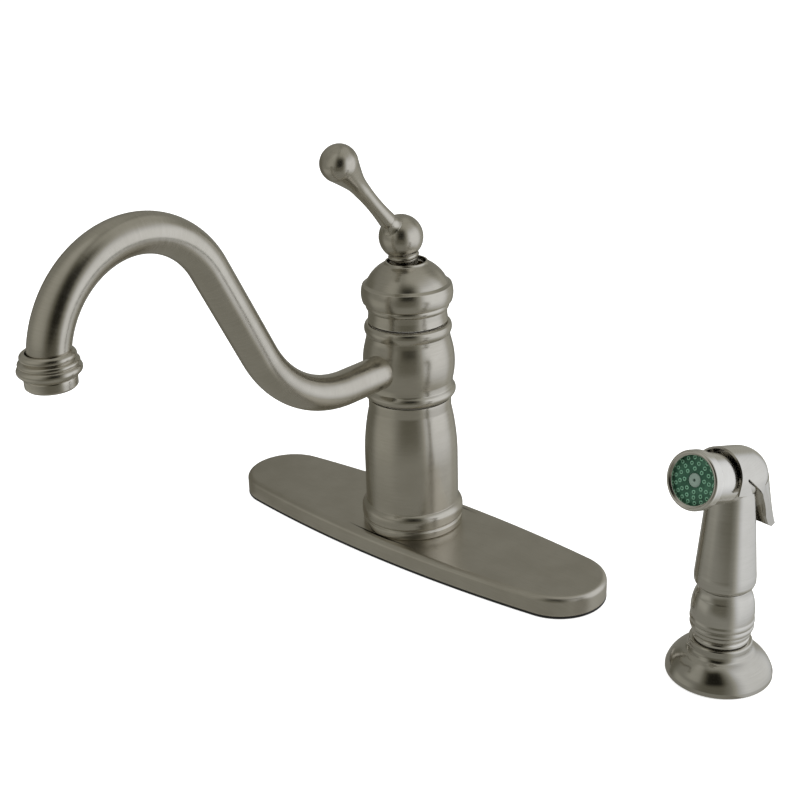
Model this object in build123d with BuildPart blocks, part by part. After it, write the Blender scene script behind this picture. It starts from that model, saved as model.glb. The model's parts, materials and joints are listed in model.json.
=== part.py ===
from build123d import *
from math import asin, atan2, cos, degrees, radians, sin, sqrt
import os

os.makedirs("parts", exist_ok=True)

# Side spray kitchen faucet, millimetres. The origin is the body axis on the sink deck.
# +X runs along the deck plate towards the side spray, the spout points to -Y, +Z is up.

# ---- driving dimensions: deck plate ----
PLATE_HALF_LENGTH = 130.0
PLATE_HALF_WIDTH = 33.5
PLATE_END_RADIUS = 26.7
PLATE_TOP = 12.4
GASKET_TOP = 1.5
PLATE_EDGE_ROUND = 3.0
PLATE_WALL = 2.2

# ---- body ----
COLUMN_RADIUS = 26.7
COLUMN_NECK_RADIUS = 23.4
COLUMN_TOP = 90.8
JOURNAL_RADIUS = 19.0
HUB_BORE = 19.06
HUB_BOTTOM = 92.0
HUB_TOP = 135.0
SLEEVE_BOTTOM = 136.1
SLEEVE_TOP = 146.4
CORE_TOP = 156.0
CUP_FLOOR = 126.0
CUP_RADIUS = 16.2
DOME_BOTTOM = 146.6
DOME_TOP = 169.6
DOME_HOLE = 10.7

# ---- under the deck ----
DECK_THICKNESS = 20.0
SHANK_RADIUS = 16.25
SHANK_BORE = 13.6
SHANK_BOTTOM = -55.0
SHANK_TOP = 38.0
PORT_FLOOR = 40.0
PORT_RADIUS = 4.6
PORT_DEPTH = 12.0
HOT_PORT = (-7.4, 3.5)
COLD_PORT = (7.4, 3.5)
SPRAY_PORT = (0.0, -7.8)
MIX_PORT = (0.0, -5.0)

# ---- spout: a 3/4 inch tube, level, then up, then over ----
TUBE_RADIUS = 9.525
TUBE_BORE = 7.9
SPOUT_HEIGHT = 111.7
SPOUT_REACH = 229.4
LOWER_BEND_RADIUS = 68.0
ARCH_RADIUS = 48.5
RISE_ANGLE = 62.0
LEVEL_END = 50.5
TUBE_START = 21.0
OUTLET_Z = 169.5
SLIP_RING_RADIUS = 20.8

# ---- handle ----
PIVOT_Z = 160.0
REST_LEAN = 9.0
BALL_DISTANCE = 24.0
BALL_RADIUS = 12.1
LEVER_ELEVATION = 47.0
STEM_RADIUS = 3.0
STEM_BALL_DEPTH = 23.0
ROTOR_RADIUS = 10.4

# ---- side spray ----
SPRAY_X = 206.9
SPRAY_Y = -9.6
SPRAY_HEADING = -98.0
HEAD_TILT = 15.0
HEAD_Z = 105.5
HEAD_RADIUS = 12.0
SEAM = 10.0
RIM = 32.0
DISC = 29.6
HOOD_RADIUS = 13.8
HOOD_WALL = 1.0
HOOD_BACK_RADIUS = 16.9
HOOD_BEND = -3.0
HOOD_FRONT = 12.6
HOOD_RISE = 0.8
SKIRT = 14.0
TONGUE_WALL = 1.3
TONGUE_HALF_TOP = 13.3
TONGUE_HALF_TIP = 7.6
TRIGGER_PIVOT = (0.0, 113.0)
PEG_RADIUS = 1.25
PLUNGER_X = -5.5

RUNNING = 0.05


def keep(piece, label):
    """Names a finished solid and writes it to its own file."""
    piece.label = label
    export_step(piece, f"parts/{label}.step")


def ring_faces(inner, outer):
    """Draws a flat ring in the sketch that is open."""
    Circle(outer)
    Circle(inner, mode=Mode.SUBTRACT)


def plate_outline(inset):
    """Boat-shaped outline: two long arcs that run tangent into round ends."""
    end_radius = PLATE_END_RADIUS - inset
    half_width = PLATE_HALF_WIDTH - inset
    end_centre = PLATE_HALF_LENGTH - PLATE_END_RADIUS
    rise = PLATE_HALF_WIDTH - PLATE_END_RADIUS
    side_radius = (end_centre**2 + rise**2) / (2 * rise) + PLATE_END_RADIUS
    slope = atan2(side_radius - PLATE_HALF_WIDTH, end_centre)
    x = end_centre + end_radius * cos(slope)
    y = end_radius * sin(slope)
    with BuildLine() as outline:
        ThreePointArc((-x, y), (0, half_width), (x, y))
        ThreePointArc((x, y), (end_centre + end_radius, 0), (x, -y))
        ThreePointArc((x, -y), (0, -half_width), (-x, -y))
        ThreePointArc((-x, -y), (-end_centre - end_radius, 0), (-x, y))
    make_face(outline.edges())


# =====================================================================
# Deck plate and its gasket
# =====================================================================

with BuildPart() as deck_gasket:
    with BuildSketch():
        plate_outline(0.0)
        Circle(SHANK_RADIUS + 1.2, mode=Mode.SUBTRACT)
    extrude(amount=GASKET_TOP)
keep(deck_gasket.part, "deck_gasket")

with BuildPart() as deck_plate:
    with BuildSketch(Plane.XY.offset(GASKET_TOP)):
        plate_outline(0.0)
    extrude(amount=PLATE_TOP - GASKET_TOP)
    fillet(deck_plate.faces().sort_by(Axis.Z)[-1].edges(), PLATE_EDGE_ROUND)
    with BuildSketch(Plane.XY.offset(GASKET_TOP)):
        plate_outline(PLATE_WALL)
        Circle(COLUMN_RADIUS, mode=Mode.SUBTRACT)
    extrude(amount=PLATE_TOP - GASKET_TOP - PLATE_WALL, mode=Mode.SUBTRACT)
    with BuildSketch(Plane.XY.offset(GASKET_TOP)):
        Circle(SHANK_RADIUS + 0.8)
    extrude(amount=PLATE_TOP, mode=Mode.SUBTRACT)
keep(deck_plate.part, "deck_plate")

# =====================================================================
# Fixed body
# =====================================================================

# The column: a turned shell with a foot ring and a neck under the spout hub.
with BuildPart() as column:
    with BuildSketch(Plane.XZ):
        with BuildLine():
            Polyline((22.8, PLATE_TOP), (28.1, PLATE_TOP), (28.7, 13.1), (28.7, 16.5), (27.9, 17.3))
            Line((27.9, 17.3), (27.9, 18.1))
            ThreePointArc((27.9, 18.1), (28.9, 18.7), (29.2, 20.0))
            Line((29.2, 20.0), (29.2, 22.8))
            ThreePointArc((29.2, 22.8), (28.5, 25.4), (COLUMN_RADIUS, 27.2))
            Line((COLUMN_RADIUS, 27.2), (COLUMN_RADIUS, 56.0))
            ThreePointArc((COLUMN_RADIUS, 56.0), (25.7, 71.0), (COLUMN_NECK_RADIUS, 84.5))
            Line((COLUMN_NECK_RADIUS, 84.5), (COLUMN_NECK_RADIUS, COLUMN_TOP))
            Polyline(
                (COLUMN_NECK_RADIUS, COLUMN_TOP), (19.6, COLUMN_TOP), (19.6, 80.0), (22.8, 76.0),
                (22.8, PLATE_TOP),
            )
        make_face()
    revolve(axis=Axis.Z)
keep(column.part, "column")

# The brass core: a foot flange, the journal that the spout hub turns on, and the cartridge cup.
with BuildPart() as valve_body:
    with BuildSketch(Plane.XZ):
        with BuildLine():
            Polyline(
                (0, PLATE_TOP), (22.5, PLATE_TOP), (22.5, 17.0), (18.0, 19.0), (18.0, 84.0),
                (JOURNAL_RADIUS, 85.0), (JOURNAL_RADIUS, 101.0), (17.2, 101.0), (17.2, 103.2),
                (JOURNAL_RADIUS, 103.2), (JOURNAL_RADIUS, 107.0), (16.5, 107.0), (16.5, 117.0),
                (JOURNAL_RADIUS, 117.0), (JOURNAL_RADIUS, 120.4), (17.2, 120.4), (17.2, 122.6),
                (JOURNAL_RADIUS, 122.6), (JOURNAL_RADIUS, 135.6), (18.5, 136.1), (18.5, CORE_TOP),
                (0, CORE_TOP), (0, PLATE_TOP),
            )
        make_face()
    revolve(axis=Axis.Z)
    with BuildSketch(Plane.XY.offset(CORE_TOP)):
        Circle(CUP_RADIUS)
    extrude(amount=CUP_FLOOR - CORE_TOP, mode=Mode.SUBTRACT)
    with BuildSketch(Plane.XY.offset(PLATE_TOP)):
        Circle(SHANK_RADIUS + RUNNING)
    extrude(amount=PORT_FLOOR - PLATE_TOP, mode=Mode.SUBTRACT)
    # three threaded ports for the hoses, drilled on as passages
    with BuildSketch(Plane.XY.offset(PORT_FLOOR)):
        with Locations(HOT_PORT, COLD_PORT, SPRAY_PORT):
            Circle(PORT_RADIUS)
    extrude(amount=PORT_DEPTH, mode=Mode.SUBTRACT)
    with BuildSketch(Plane.XY.offset(PORT_FLOOR + PORT_DEPTH)):
        with Locations(HOT_PORT, COLD_PORT):
            Circle(2.3)
    extrude(amount=CUP_FLOOR - PORT_FLOOR - PORT_DEPTH, mode=Mode.SUBTRACT)
    with BuildSketch(Plane.XY.offset(112.0)):
        with Locations(MIX_PORT):
            Circle(2.8)
    extrude(amount=CUP_FLOOR - 112.0, mode=Mode.SUBTRACT)
    # spray passage: up from its port, across, and up into the side of the diverter bore
    with BuildSketch(Plane.XY.offset(PORT_FLOOR + PORT_DEPTH)):
        with Locations(SPRAY_PORT):
            Circle(2.4)
    extrude(amount=49.0, mode=Mode.SUBTRACT)
    with BuildSketch(Plane.XZ.offset(8.8)):
        with Locations((0, 98.5)):
            Circle(2.4)
    extrude(amount=-14.6, mode=Mode.SUBTRACT)
    with BuildSketch(Plane.XY.offset(98.5)):
        with Locations((0, 3.5)):
            Circle(2.2)
    extrude(amount=13.5, mode=Mode.SUBTRACT)
    # diverter bore, from the water groove inwards to the mixed passage
    with BuildSketch(Plane.XZ.offset(-18.0)):
        with Locations((0, 112.0)):
            Circle(4.0)
    extrude(amount=19.0, mode=Mode.SUBTRACT)
    with BuildSketch(Plane.XZ.offset(1.0)):
        with Locations((0, 112.0)):
            Circle(2.2)
    extrude(amount=4.0, mode=Mode.SUBTRACT)
keep(valve_body.part, "valve_body")

# A turned ring of soft packing in each of the two journal grooves.
with BuildPart() as hub_o_rings:
    with BuildSketch(Plane.XZ):
        with Locations((18.14, 102.1), (18.14, 121.5)):
            Circle(0.9)
    revolve(axis=Axis.Z)
keep(hub_o_rings.part, "hub_o_rings")

# Thin plastic rings that the hub turns between.
with BuildPart() as hub_slip_rings:
    for bottom in (COLUMN_TOP + 0.1, HUB_TOP + 0.3):
        with BuildSketch(Plane.XY.offset(bottom)):
            ring_faces(JOURNAL_RADIUS + 0.1, SLIP_RING_RADIUS)
        extrude(amount=0.8)
keep(hub_slip_rings.part, "hub_slip_rings")

# The plain sleeve above the hub, with its small bead under the dome.
with BuildPart() as retaining_sleeve:
    with BuildSketch(Plane.XZ):
        with BuildLine():
            Polyline((18.55, SLEEVE_BOTTOM), (22.3, SLEEVE_BOTTOM), (21.9, 139.5), (22.0, 142.8))
            ThreePointArc((22.0, 142.8), (23.1, 144.4), (22.6, SLEEVE_TOP))
            Polyline((22.6, SLEEVE_TOP), (18.55, SLEEVE_TOP), (18.55, SLEEVE_BOTTOM))
        make_face()
    revolve(axis=Axis.Z)
keep(retaining_sleeve.part, "retaining_sleeve")

# The domed cap: a heavy bead, then a bell shape up to the hole for the handle's neck.
with BuildPart() as dome_cap:
    with BuildSketch(Plane.XZ):
        with BuildLine():
            Polyline((18.6, DOME_BOTTOM), (23.4, DOME_BOTTOM), (24.4, 147.6))
            ThreePointArc((24.4, 147.6), (25.4, 152.2), (24.6, 156.6))
            Polyline((24.6, 156.6), (22.6, 157.6), (22.2, 158.4))
            ThreePointArc((22.2, 158.4), (18.3, 163.9), (13.0, 167.9))
            ThreePointArc((13.0, 167.9), (12.0, 168.7), (11.6, DOME_TOP))
            Polyline((11.6, DOME_TOP), (DOME_HOLE, DOME_TOP), (DOME_HOLE, 166.6))
            ThreePointArc((DOME_HOLE, 166.6), (15.4, 163.3), (18.6, 158.0))
            Line((18.6, 158.0), (18.6, DOME_BOTTOM))
        make_face()
    revolve(axis=Axis.Z)
keep(dome_cap.part, "dome_cap")

# =====================================================================
# Mounting under the deck
# =====================================================================

with BuildPart() as mounting_shank:
    with BuildSketch(Plane.XY.offset(SHANK_BOTTOM)):
        ring_faces(SHANK_BORE, SHANK_RADIUS)
    extrude(amount=SHANK_TOP - SHANK_BOTTOM)
    chamfer(mounting_shank.faces().sort_by(Axis.Z)[0].edges(), 0.8)
keep(mounting_shank.part, "mounting_shank")

with BuildPart() as clamp_washer:
    with BuildSketch(Plane.XY.offset(-DECK_THICKNESS - 2.0)):
        ring_faces(SHANK_RADIUS + 0.6, 27.0)
    extrude(amount=2.0)
keep(clamp_washer.part, "clamp_washer")

with BuildPart() as mounting_nut:
    with BuildSketch(Plane.XY.offset(-DECK_THICKNESS - 11.0)):
        RegularPolygon(radius=22.0, side_count=6, major_radius=False)
        Circle(SHANK_RADIUS + RUNNING, mode=Mode.SUBTRACT)
    extrude(amount=8.8)
keep(mounting_nut.part, "mounting_nut")

# =====================================================================
# Spout, which turns on the journal
# =====================================================================

with BuildPart() as spout_hub:
    with BuildSketch(Plane.XZ):
        with BuildLine():
            Polyline((HUB_BORE, HUB_BOTTOM), (23.9, HUB_BOTTOM), (24.9, 92.5))
            ThreePointArc((24.9, 92.5), (26.1, 95.2), (25.0, 97.6))
            Line((25.0, 97.6), (24.5, 98.2))
            Line((24.5, 98.2), (24.6, 101.5))
            ThreePointArc((24.6, 101.5), (25.8, 112.0), (24.4, 122.6))
            Line((24.4, 122.6), (23.5, 126.2))
            Line((23.5, 126.2), (23.3, 128.6))
            ThreePointArc((23.3, 128.6), (24.4, 131.6), (23.9, 134.2))
            Polyline((23.9, 134.2), (22.9, HUB_TOP), (HUB_BORE, HUB_TOP), (HUB_BORE, HUB_BOTTOM))
        make_face()
    revolve(axis=Axis.Z)
    with BuildSketch(Plane.XZ.offset(TUBE_START - RUNNING)):
        with Locations((0, SPOUT_HEIGHT)):
            Circle(TUBE_RADIUS + RUNNING)
    extrude(amount=10.0, mode=Mode.SUBTRACT)
    with BuildSketch(Plane.XZ.offset(15.0)):
        with Locations((0, SPOUT_HEIGHT)):
            Circle(TUBE_BORE)
    extrude(amount=8.0, mode=Mode.SUBTRACT)
keep(spout_hub.part, "spout_hub")

# The tube's centreline: level, a rising bend, a straight, then the arch down to the outlet.
rise = radians(RISE_ANGLE)
bend_y = LEVEL_END + LOWER_BEND_RADIUS * sin(rise)
bend_z = SPOUT_HEIGHT + LOWER_BEND_RADIUS * (1 - cos(rise))
arch_centre_y = SPOUT_REACH - ARCH_RADIUS
arch_y = arch_centre_y - ARCH_RADIUS * sin(rise)
arch_z = bend_z + (arch_y - bend_y) * sin(rise) / cos(rise)
arch_centre_z = arch_z - ARCH_RADIUS * cos(rise)
half_bend = rise / 2
arch_middle = rise / 2 + radians(45)

with BuildPart() as spout_tube:
    with BuildLine() as spout_line:
        Line((0, -TUBE_START, SPOUT_HEIGHT), (0, -LEVEL_END, SPOUT_HEIGHT))
        ThreePointArc(
            (0, -LEVEL_END, SPOUT_HEIGHT),
            (
                0,
                -LEVEL_END - LOWER_BEND_RADIUS * sin(half_bend),
                SPOUT_HEIGHT + LOWER_BEND_RADIUS * (1 - cos(half_bend)),
            ),
            (0, -bend_y, bend_z),
        )
        Line((0, -bend_y, bend_z), (0, -arch_y, arch_z))
        ThreePointArc(
            (0, -arch_y, arch_z),
            (
                0,
                -arch_centre_y - ARCH_RADIUS * sin(arch_middle - rise),
                arch_centre_z + ARCH_RADIUS * cos(arch_middle - rise),
            ),
            (0, -SPOUT_REACH, arch_centre_z),
        )
    with BuildSketch(Plane(origin=(0, -TUBE_START, SPOUT_HEIGHT), z_dir=(0, -1, 0))):
        ring_faces(TUBE_BORE, TUBE_RADIUS)
    sweep(path=spout_line.line)
keep(spout_tube.part, "spout_tube")

# Beaded collar on the tube's end. Its lower skirt carries the thread of the aerator.
OUTLET_PLANE = Plane(origin=(0, -SPOUT_REACH, 0), x_dir=(1, 0, 0), z_dir=(0, -1, 0))
OUTLET_AXIS = Axis((0, -SPOUT_REACH, 0), (0, 0, 1))

with BuildPart() as tip_collar:
    with BuildSketch(OUTLET_PLANE):
        with BuildLine():
            Polyline((8.0, 172.2), (9.8, 172.2), (9.8, 175.2), (12.3, 175.2), (13.3, 176.2))
            ThreePointArc((13.3, 176.2), (14.1, 177.9), (13.4, 179.5))
            Line((13.4, 179.5), (12.8, 179.9))
            ThreePointArc((12.8, 179.9), (13.3, 181.0), (12.7, 182.0))
            Line((12.7, 182.0), (11.6, 182.5))
            ThreePointArc((11.6, 182.5), (12.2, 184.2), (11.2, 185.6))
            Polyline((11.2, 185.6), (10.9, 185.9), (8.0, 185.9), (8.0, 172.2))
        make_face()
    revolve(axis=OUTLET_AXIS)
    # bored to the tube's own curve
    with BuildLine() as bore_line:
        ThreePointArc(
            (0, -SPOUT_REACH, arch_centre_z),
            (
                0,
                -arch_centre_y - ARCH_RADIUS * cos(radians(10)),
                arch_centre_z + ARCH_RADIUS * sin(radians(10)),
            ),
            (
                0,
                -arch_centre_y - ARCH_RADIUS * cos(radians(20)),
                arch_centre_z + ARCH_RADIUS * sin(radians(20)),
            ),
        )
    with BuildSketch(Plane.XY.offset(arch_centre_z)):
        with Locations((0, -SPOUT_REACH)):
            Circle(TUBE_RADIUS + RUNNING)
    sweep(path=bore_line.line, mode=Mode.SUBTRACT)
keep(tip_collar.part, "tip_collar")

with BuildPart() as aerator_housing:
    with BuildSketch(OUTLET_PLANE):
        with BuildLine():
            Polyline((8.4, OUTLET_Z), (10.4, OUTLET_Z), (11.4, 170.5), (11.5, 174.2), (11.1, 174.9))
            Polyline((11.1, 174.9), (9.85, 174.9), (9.85, 170.3), (8.4, 170.3), (8.4, OUTLET_Z))
        make_face()
    revolve(axis=OUTLET_AXIS)
keep(aerator_housing.part, "aerator_housing")

with BuildPart() as aerator_washer:
    with BuildSketch(Plane.XY.offset(171.2)):
        with Locations((0, -SPOUT_REACH)):
            ring_faces(8.1, 9.6)
    extrude(amount=0.9)
keep(aerator_washer.part, "aerator_washer")

with BuildPart() as aerator_insert:
    with BuildSketch(Plane.XY.offset(170.4)):
        with Locations((0, -SPOUT_REACH)):
            Circle(9.5)
    extrude(amount=0.7)
    with BuildSketch(Plane.XY.offset(171.1)):
        with Locations((0, -SPOUT_REACH)):
            Circle(7.8)
    extrude(amount=4.6)
    with BuildSketch(Plane.XY.offset(170.4)):
        with Locations((0, -SPOUT_REACH)):
            with PolarLocations(5.2, 8):
                Circle(1.3)
            Circle(1.8)
    extrude(amount=5.3, mode=Mode.SUBTRACT)
keep(aerator_insert.part, "aerator_insert")

with BuildPart() as aerator_screen:
    with BuildSketch(Plane.XY.offset(169.75)):
        with Locations((0, -SPOUT_REACH)):
            Circle(8.3)
            with GridLocations(2.0, 2.0, 7, 7):
                Rectangle(1.3, 1.3, mode=Mode.SUBTRACT)
    with BuildSketch(Plane.XY.offset(169.75)):
        with Locations((0, -SPOUT_REACH)):
            ring_faces(7.3, 8.3)
    extrude(amount=0.4)
keep(aerator_screen.part, "aerator_screen")

# =====================================================================
# Cartridge and its ceramic discs
# =====================================================================

with BuildPart() as port_seals:
    for x, y in (HOT_PORT, COLD_PORT, MIX_PORT):
        with BuildSketch(Plane(origin=(x, y, 0), x_dir=(1, 0, 0), z_dir=(0, -1, 0))):
            with Locations((3.2, CUP_FLOOR + 0.72)):
                Circle(0.68)
        revolve(axis=Axis((x, y, 0), (0, 0, 1)))
keep(port_seals.part, "port_seals")

CARTRIDGE_BOTTOM = CUP_FLOOR + 0.1
CARTRIDGE_FLOOR = 129.2
CARTRIDGE_SHOULDER = 150.0
CARTRIDGE_CEILING = 147.0

with BuildPart() as cartridge_body:
    with BuildSketch(Plane.XY.offset(CARTRIDGE_BOTTOM)):
        Circle(CUP_RADIUS - 0.1)
    extrude(amount=CARTRIDGE_SHOULDER - CARTRIDGE_BOTTOM)
    with BuildSketch(Plane.XY.offset(CARTRIDGE_SHOULDER)):
        Circle(11.9)
    extrude(amount=4.8)
    with BuildSketch(Plane.XY.offset(CARTRIDGE_FLOOR)):
        Circle(13.6)
    extrude(amount=CARTRIDGE_CEILING - CARTRIDGE_FLOOR, mode=Mode.SUBTRACT)
    with BuildSketch(Plane.XY.offset(CARTRIDGE_CEILING)):
        Circle(ROTOR_RADIUS + RUNNING)
    extrude(amount=8.0, mode=Mode.SUBTRACT)
    with BuildSketch(Plane.XY.offset(CARTRIDGE_BOTTOM)):
        with Locations(HOT_PORT, COLD_PORT, MIX_PORT):
            Circle(2.3)
    extrude(amount=CARTRIDGE_FLOOR - CARTRIDGE_BOTTOM, mode=Mode.SUBTRACT)
    with BuildSketch(Plane.XY.offset(CARTRIDGE_BOTTOM)):
        with Locations(HOT_PORT, COLD_PORT, MIX_PORT):
            Circle(4.1)
    extrude(amount=1.4, mode=Mode.SUBTRACT)
keep(cartridge_body.part, "cartridge_body")

with BuildPart() as fixed_disc:
    with BuildSketch(Plane.XY.offset(CARTRIDGE_FLOOR + 0.05)):
        Circle(13.4)
        with Locations(HOT_PORT, COLD_PORT, MIX_PORT):
            Circle(2.3, mode=Mode.SUBTRACT)
    extrude(amount=2.3)
keep(fixed_disc.part, "fixed_disc")

# The moving disc and its carrier stand off the axis while the valve is shut.
STEM_BALL_Y = STEM_BALL_DEPTH * sin(radians(REST_LEAN))
DISC_BOTTOM = CARTRIDGE_FLOOR + 2.45
DISC_RADIUS = 7.8

with BuildPart() as moving_disc:
    with BuildSketch(Plane.XY.offset(DISC_BOTTOM)):
        with Locations((0, STEM_BALL_Y)):
            Circle(DISC_RADIUS)
    extrude(amount=1.8)
    with BuildSketch(Plane.XY.offset(DISC_BOTTOM)):
        with Locations((0, STEM_BALL_Y)):
            SlotOverall(9.0, 4.4)
    extrude(amount=0.9, mode=Mode.SUBTRACT)
keep(moving_disc.part, "moving_disc")

with BuildPart() as disc_carrier:
    with BuildSketch(Plane.XY.offset(DISC_BOTTOM + 1.8)):
        with Locations((0, STEM_BALL_Y)):
            Circle(DISC_RADIUS)
    extrude(amount=5.0)
    with BuildSketch(Plane.XY.offset(DISC_BOTTOM + 6.8)):
        with Locations((0, STEM_BALL_Y)):
            Circle(3.2)
    extrude(amount=-4.4, mode=Mode.SUBTRACT)
keep(disc_carrier.part, "disc_carrier")

# The rotor turns in the cartridge's neck and carries the tilt pin between two ears.
with BuildPart() as cartridge_rotor:
    with BuildSketch(Plane.XY.offset(139.2)):
        Circle(13.2)
    extrude(amount=2.4)
    with BuildSketch(Plane.XY.offset(141.6)):
        Circle(ROTOR_RADIUS)
    extrude(amount=21.4)
    with BuildSketch(Plane.XY.offset(139.2)):
        Rectangle(7.4, 18.0)
    extrude(amount=24.0, mode=Mode.SUBTRACT)
    with BuildSketch(Plane.YZ.offset(-ROTOR_RADIUS)):
        with Locations((0, PIVOT_Z)):
            Circle(1.5 + RUNNING)
    extrude(amount=2 * ROTOR_RADIUS, mode=Mode.SUBTRACT)
keep(cartridge_rotor.part, "cartridge_rotor")

with BuildPart() as tilt_pin:
    with BuildSketch(Plane.YZ.offset(-9.8)):
        with Locations((0, PIVOT_Z)):
            Circle(1.5)
    extrude(amount=19.6)
keep(tilt_pin.part, "tilt_pin")

with BuildPart() as cartridge_nut:
    with BuildSketch(Plane.XY.offset(CARTRIDGE_SHOULDER + 0.1)):
        ring_faces(12.2, CUP_RADIUS - RUNNING)
    extrude(amount=5.6)
    with BuildSketch(Plane.XY.offset(CORE_TOP)):
        with PolarLocations(CUP_RADIUS, 4):
            Rectangle(4.0, 4.0)
    extrude(amount=-2.4, mode=Mode.SUBTRACT)
keep(cartridge_nut.part, "cartridge_nut")

# =====================================================================
# Handle: everything here leans forward with the stem
# =====================================================================

LEAN = radians(REST_LEAN)
STEM_UP = Vector(0, -sin(LEAN), cos(LEAN))
PIVOT = Vector(0, 0, PIVOT_Z)
BALL_CENTRE = PIVOT + STEM_UP * BALL_DISTANCE
STEM_PLANE = Plane(origin=PIVOT, x_dir=(1, 0, 0), z_dir=(0, -cos(LEAN), -sin(LEAN)))
STEM_AXIS = Axis(PIVOT, STEM_UP)
LEVER_DIR = Vector(0, -cos(radians(LEVER_ELEVATION)), sin(radians(LEVER_ELEVATION)))
LEVER_PLANE = Plane(
    origin=BALL_CENTRE, x_dir=(1, 0, 0),
    z_dir=(0, -sin(radians(LEVER_ELEVATION)), -cos(radians(LEVER_ELEVATION))),
)
LEVER_AXIS = Axis(BALL_CENTRE, LEVER_DIR)
SPOT_FACE = 10.3
KNOB_END = 74.9

with BuildPart() as lever_stem:
    with BuildSketch(STEM_PLANE):
        with BuildLine():
            Polyline((0, -STEM_BALL_DEPTH - 2.6), (0, 17.0), (STEM_RADIUS, 17.0), (STEM_RADIUS, 5.0))
            Polyline((STEM_RADIUS, 5.0), (3.4, 3.0), (3.4, -3.0), (2.4, -5.0))
            Line((2.4, -5.0), (1.6, -STEM_BALL_DEPTH + sqrt(2.6**2 - 1.6**2)))
            ThreePointArc(
                (1.6, -STEM_BALL_DEPTH + sqrt(2.6**2 - 1.6**2)),
                (2.6, -STEM_BALL_DEPTH),
                (0, -STEM_BALL_DEPTH - 2.6),
            )
        make_face()
    revolve(axis=STEM_AXIS)
    with BuildSketch(Plane.YZ.offset(-5.0)):
        with Locations((0, PIVOT_Z)):
            Circle(1.5 + RUNNING)
    extrude(amount=10.0, mode=Mode.SUBTRACT)
keep(lever_stem.part, "lever_stem")

# Neck and ball in one casting, bored for the stem, with a flat for the lever and a screw hole.
with BuildPart() as handle_hub:
    with BuildSketch(STEM_PLANE):
        with BuildLine():
            Polyline((0, 7.0), (7.2, 7.0), (7.4, 12.6), (8.2, 12.6), (8.5, 13.3))
            ThreePointArc(
                (8.5, 13.3),
                (7.9, 14.6),
                (8.4, BALL_DISTANCE - sqrt(BALL_RADIUS**2 - 8.4**2)),
            )
            ThreePointArc(
                (8.4, BALL_DISTANCE - sqrt(BALL_RADIUS**2 - 8.4**2)),
                (BALL_RADIUS, BALL_DISTANCE),
                (0, BALL_DISTANCE + BALL_RADIUS),
            )
            Line((0, BALL_DISTANCE + BALL_RADIUS), (0, 7.0))
        make_face()
    revolve(axis=STEM_AXIS)
    with BuildSketch(Plane(origin=PIVOT + STEM_UP * 7.0, z_dir=STEM_UP)):
        Circle(STEM_RADIUS + RUNNING)
    extrude(amount=10.4, mode=Mode.SUBTRACT)
    with BuildSketch(Plane(origin=BALL_CENTRE + LEVER_DIR * SPOT_FACE, z_dir=LEVER_DIR)):
        Circle(6.6)
    extrude(amount=6.0, mode=Mode.SUBTRACT)
    with BuildSketch(Plane(origin=BALL_CENTRE + LEVER_DIR * SPOT_FACE, z_dir=LEVER_DIR)):
        Circle(4.0)
    extrude(amount=-7.0, mode=Mode.SUBTRACT)
    with BuildSketch(Plane(origin=PIVOT + STEM_UP * 15.2, z_dir=(0, cos(LEAN), sin(LEAN)))):
        Circle(2.0)
    extrude(amount=14.0, mode=Mode.SUBTRACT)
keep(handle_hub.part, "handle_hub")

with BuildPart() as set_screw:
    with BuildSketch(
        Plane(
            origin=PIVOT + STEM_UP * 15.2 + Vector(0, cos(LEAN), sin(LEAN)) * 3.1,
            z_dir=(0, cos(LEAN), sin(LEAN)),
        )
    ):
        Circle(1.95)
    extrude(amount=4.6)
    with BuildSketch(
        Plane(
            origin=PIVOT + STEM_UP * 15.2 + Vector(0, cos(LEAN), sin(LEAN)) * 7.7,
            z_dir=(0, cos(LEAN), sin(LEAN)),
        )
    ):
        RegularPolygon(radius=1.0, side_count=6, major_radius=False)
    extrude(amount=-2.2, mode=Mode.SUBTRACT)
keep(set_screw.part, "set_screw")

# The lever swells from a slim waist to a round knob, and screws into the ball.
with BuildPart() as lever_arm:
    with BuildSketch(LEVER_PLANE):
        with BuildLine():
            Polyline((0, 3.6), (3.4, 3.6), (3.95, 4.2), (3.95, SPOT_FACE + RUNNING))
            Line((3.95, SPOT_FACE + RUNNING), (6.4, SPOT_FACE + RUNNING))
            ThreePointArc((6.4, SPOT_FACE + RUNNING), (5.1, 12.4), (4.8, 16.0))
            Spline((4.8, 16.0), (4.0, 29.0), (4.6, 43.0), (6.2, 52.5), (9.2, 62.0), (10.0, 66.0))
            Spline((10.0, 66.0), (7.4, 72.2), (0, KNOB_END), tangents=((0, 1), (-1, 0)))
            Line((0, KNOB_END), (0, 3.6))
        make_face()
    revolve(axis=LEVER_AXIS)
keep(lever_arm.part, "lever_arm")

# =====================================================================
# Diverter, in the side of the core
# =====================================================================

with BuildPart() as diverter_body:
    with BuildSketch(Plane.XZ.offset(-9.6)):
        with Locations((0, 112.0)):
            ring_faces(2.3, 4.0 - RUNNING)
    extrude(amount=-6.6)
keep(diverter_body.part, "diverter_body")

with BuildPart() as diverter_piston:
    with BuildSketch(Plane.XZ.offset(0.6)):
        with Locations((0, 112.0)):
            Circle(3.6)
    extrude(amount=-1.6)
    with BuildSketch(Plane.XZ.offset(-1.0)):
        with Locations((0, 112.0)):
            Circle(1.5)
    extrude(amount=-3.0)
    with BuildSketch(Plane.XZ.offset(-4.0)):
        with Locations((0, 112.0)):
            Circle(3.4)
    extrude(amount=-1.4)
keep(diverter_piston.part, "diverter_piston")

with BuildPart() as diverter_cup:
    with BuildSketch(Plane.XZ.offset(-1.1)):
        with Locations((0, 112.0)):
            ring_faces(1.6, 3.7)
    extrude(amount=-2.6)
keep(diverter_cup.part, "diverter_cup")

# =====================================================================
# Spray holder
# =====================================================================

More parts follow.
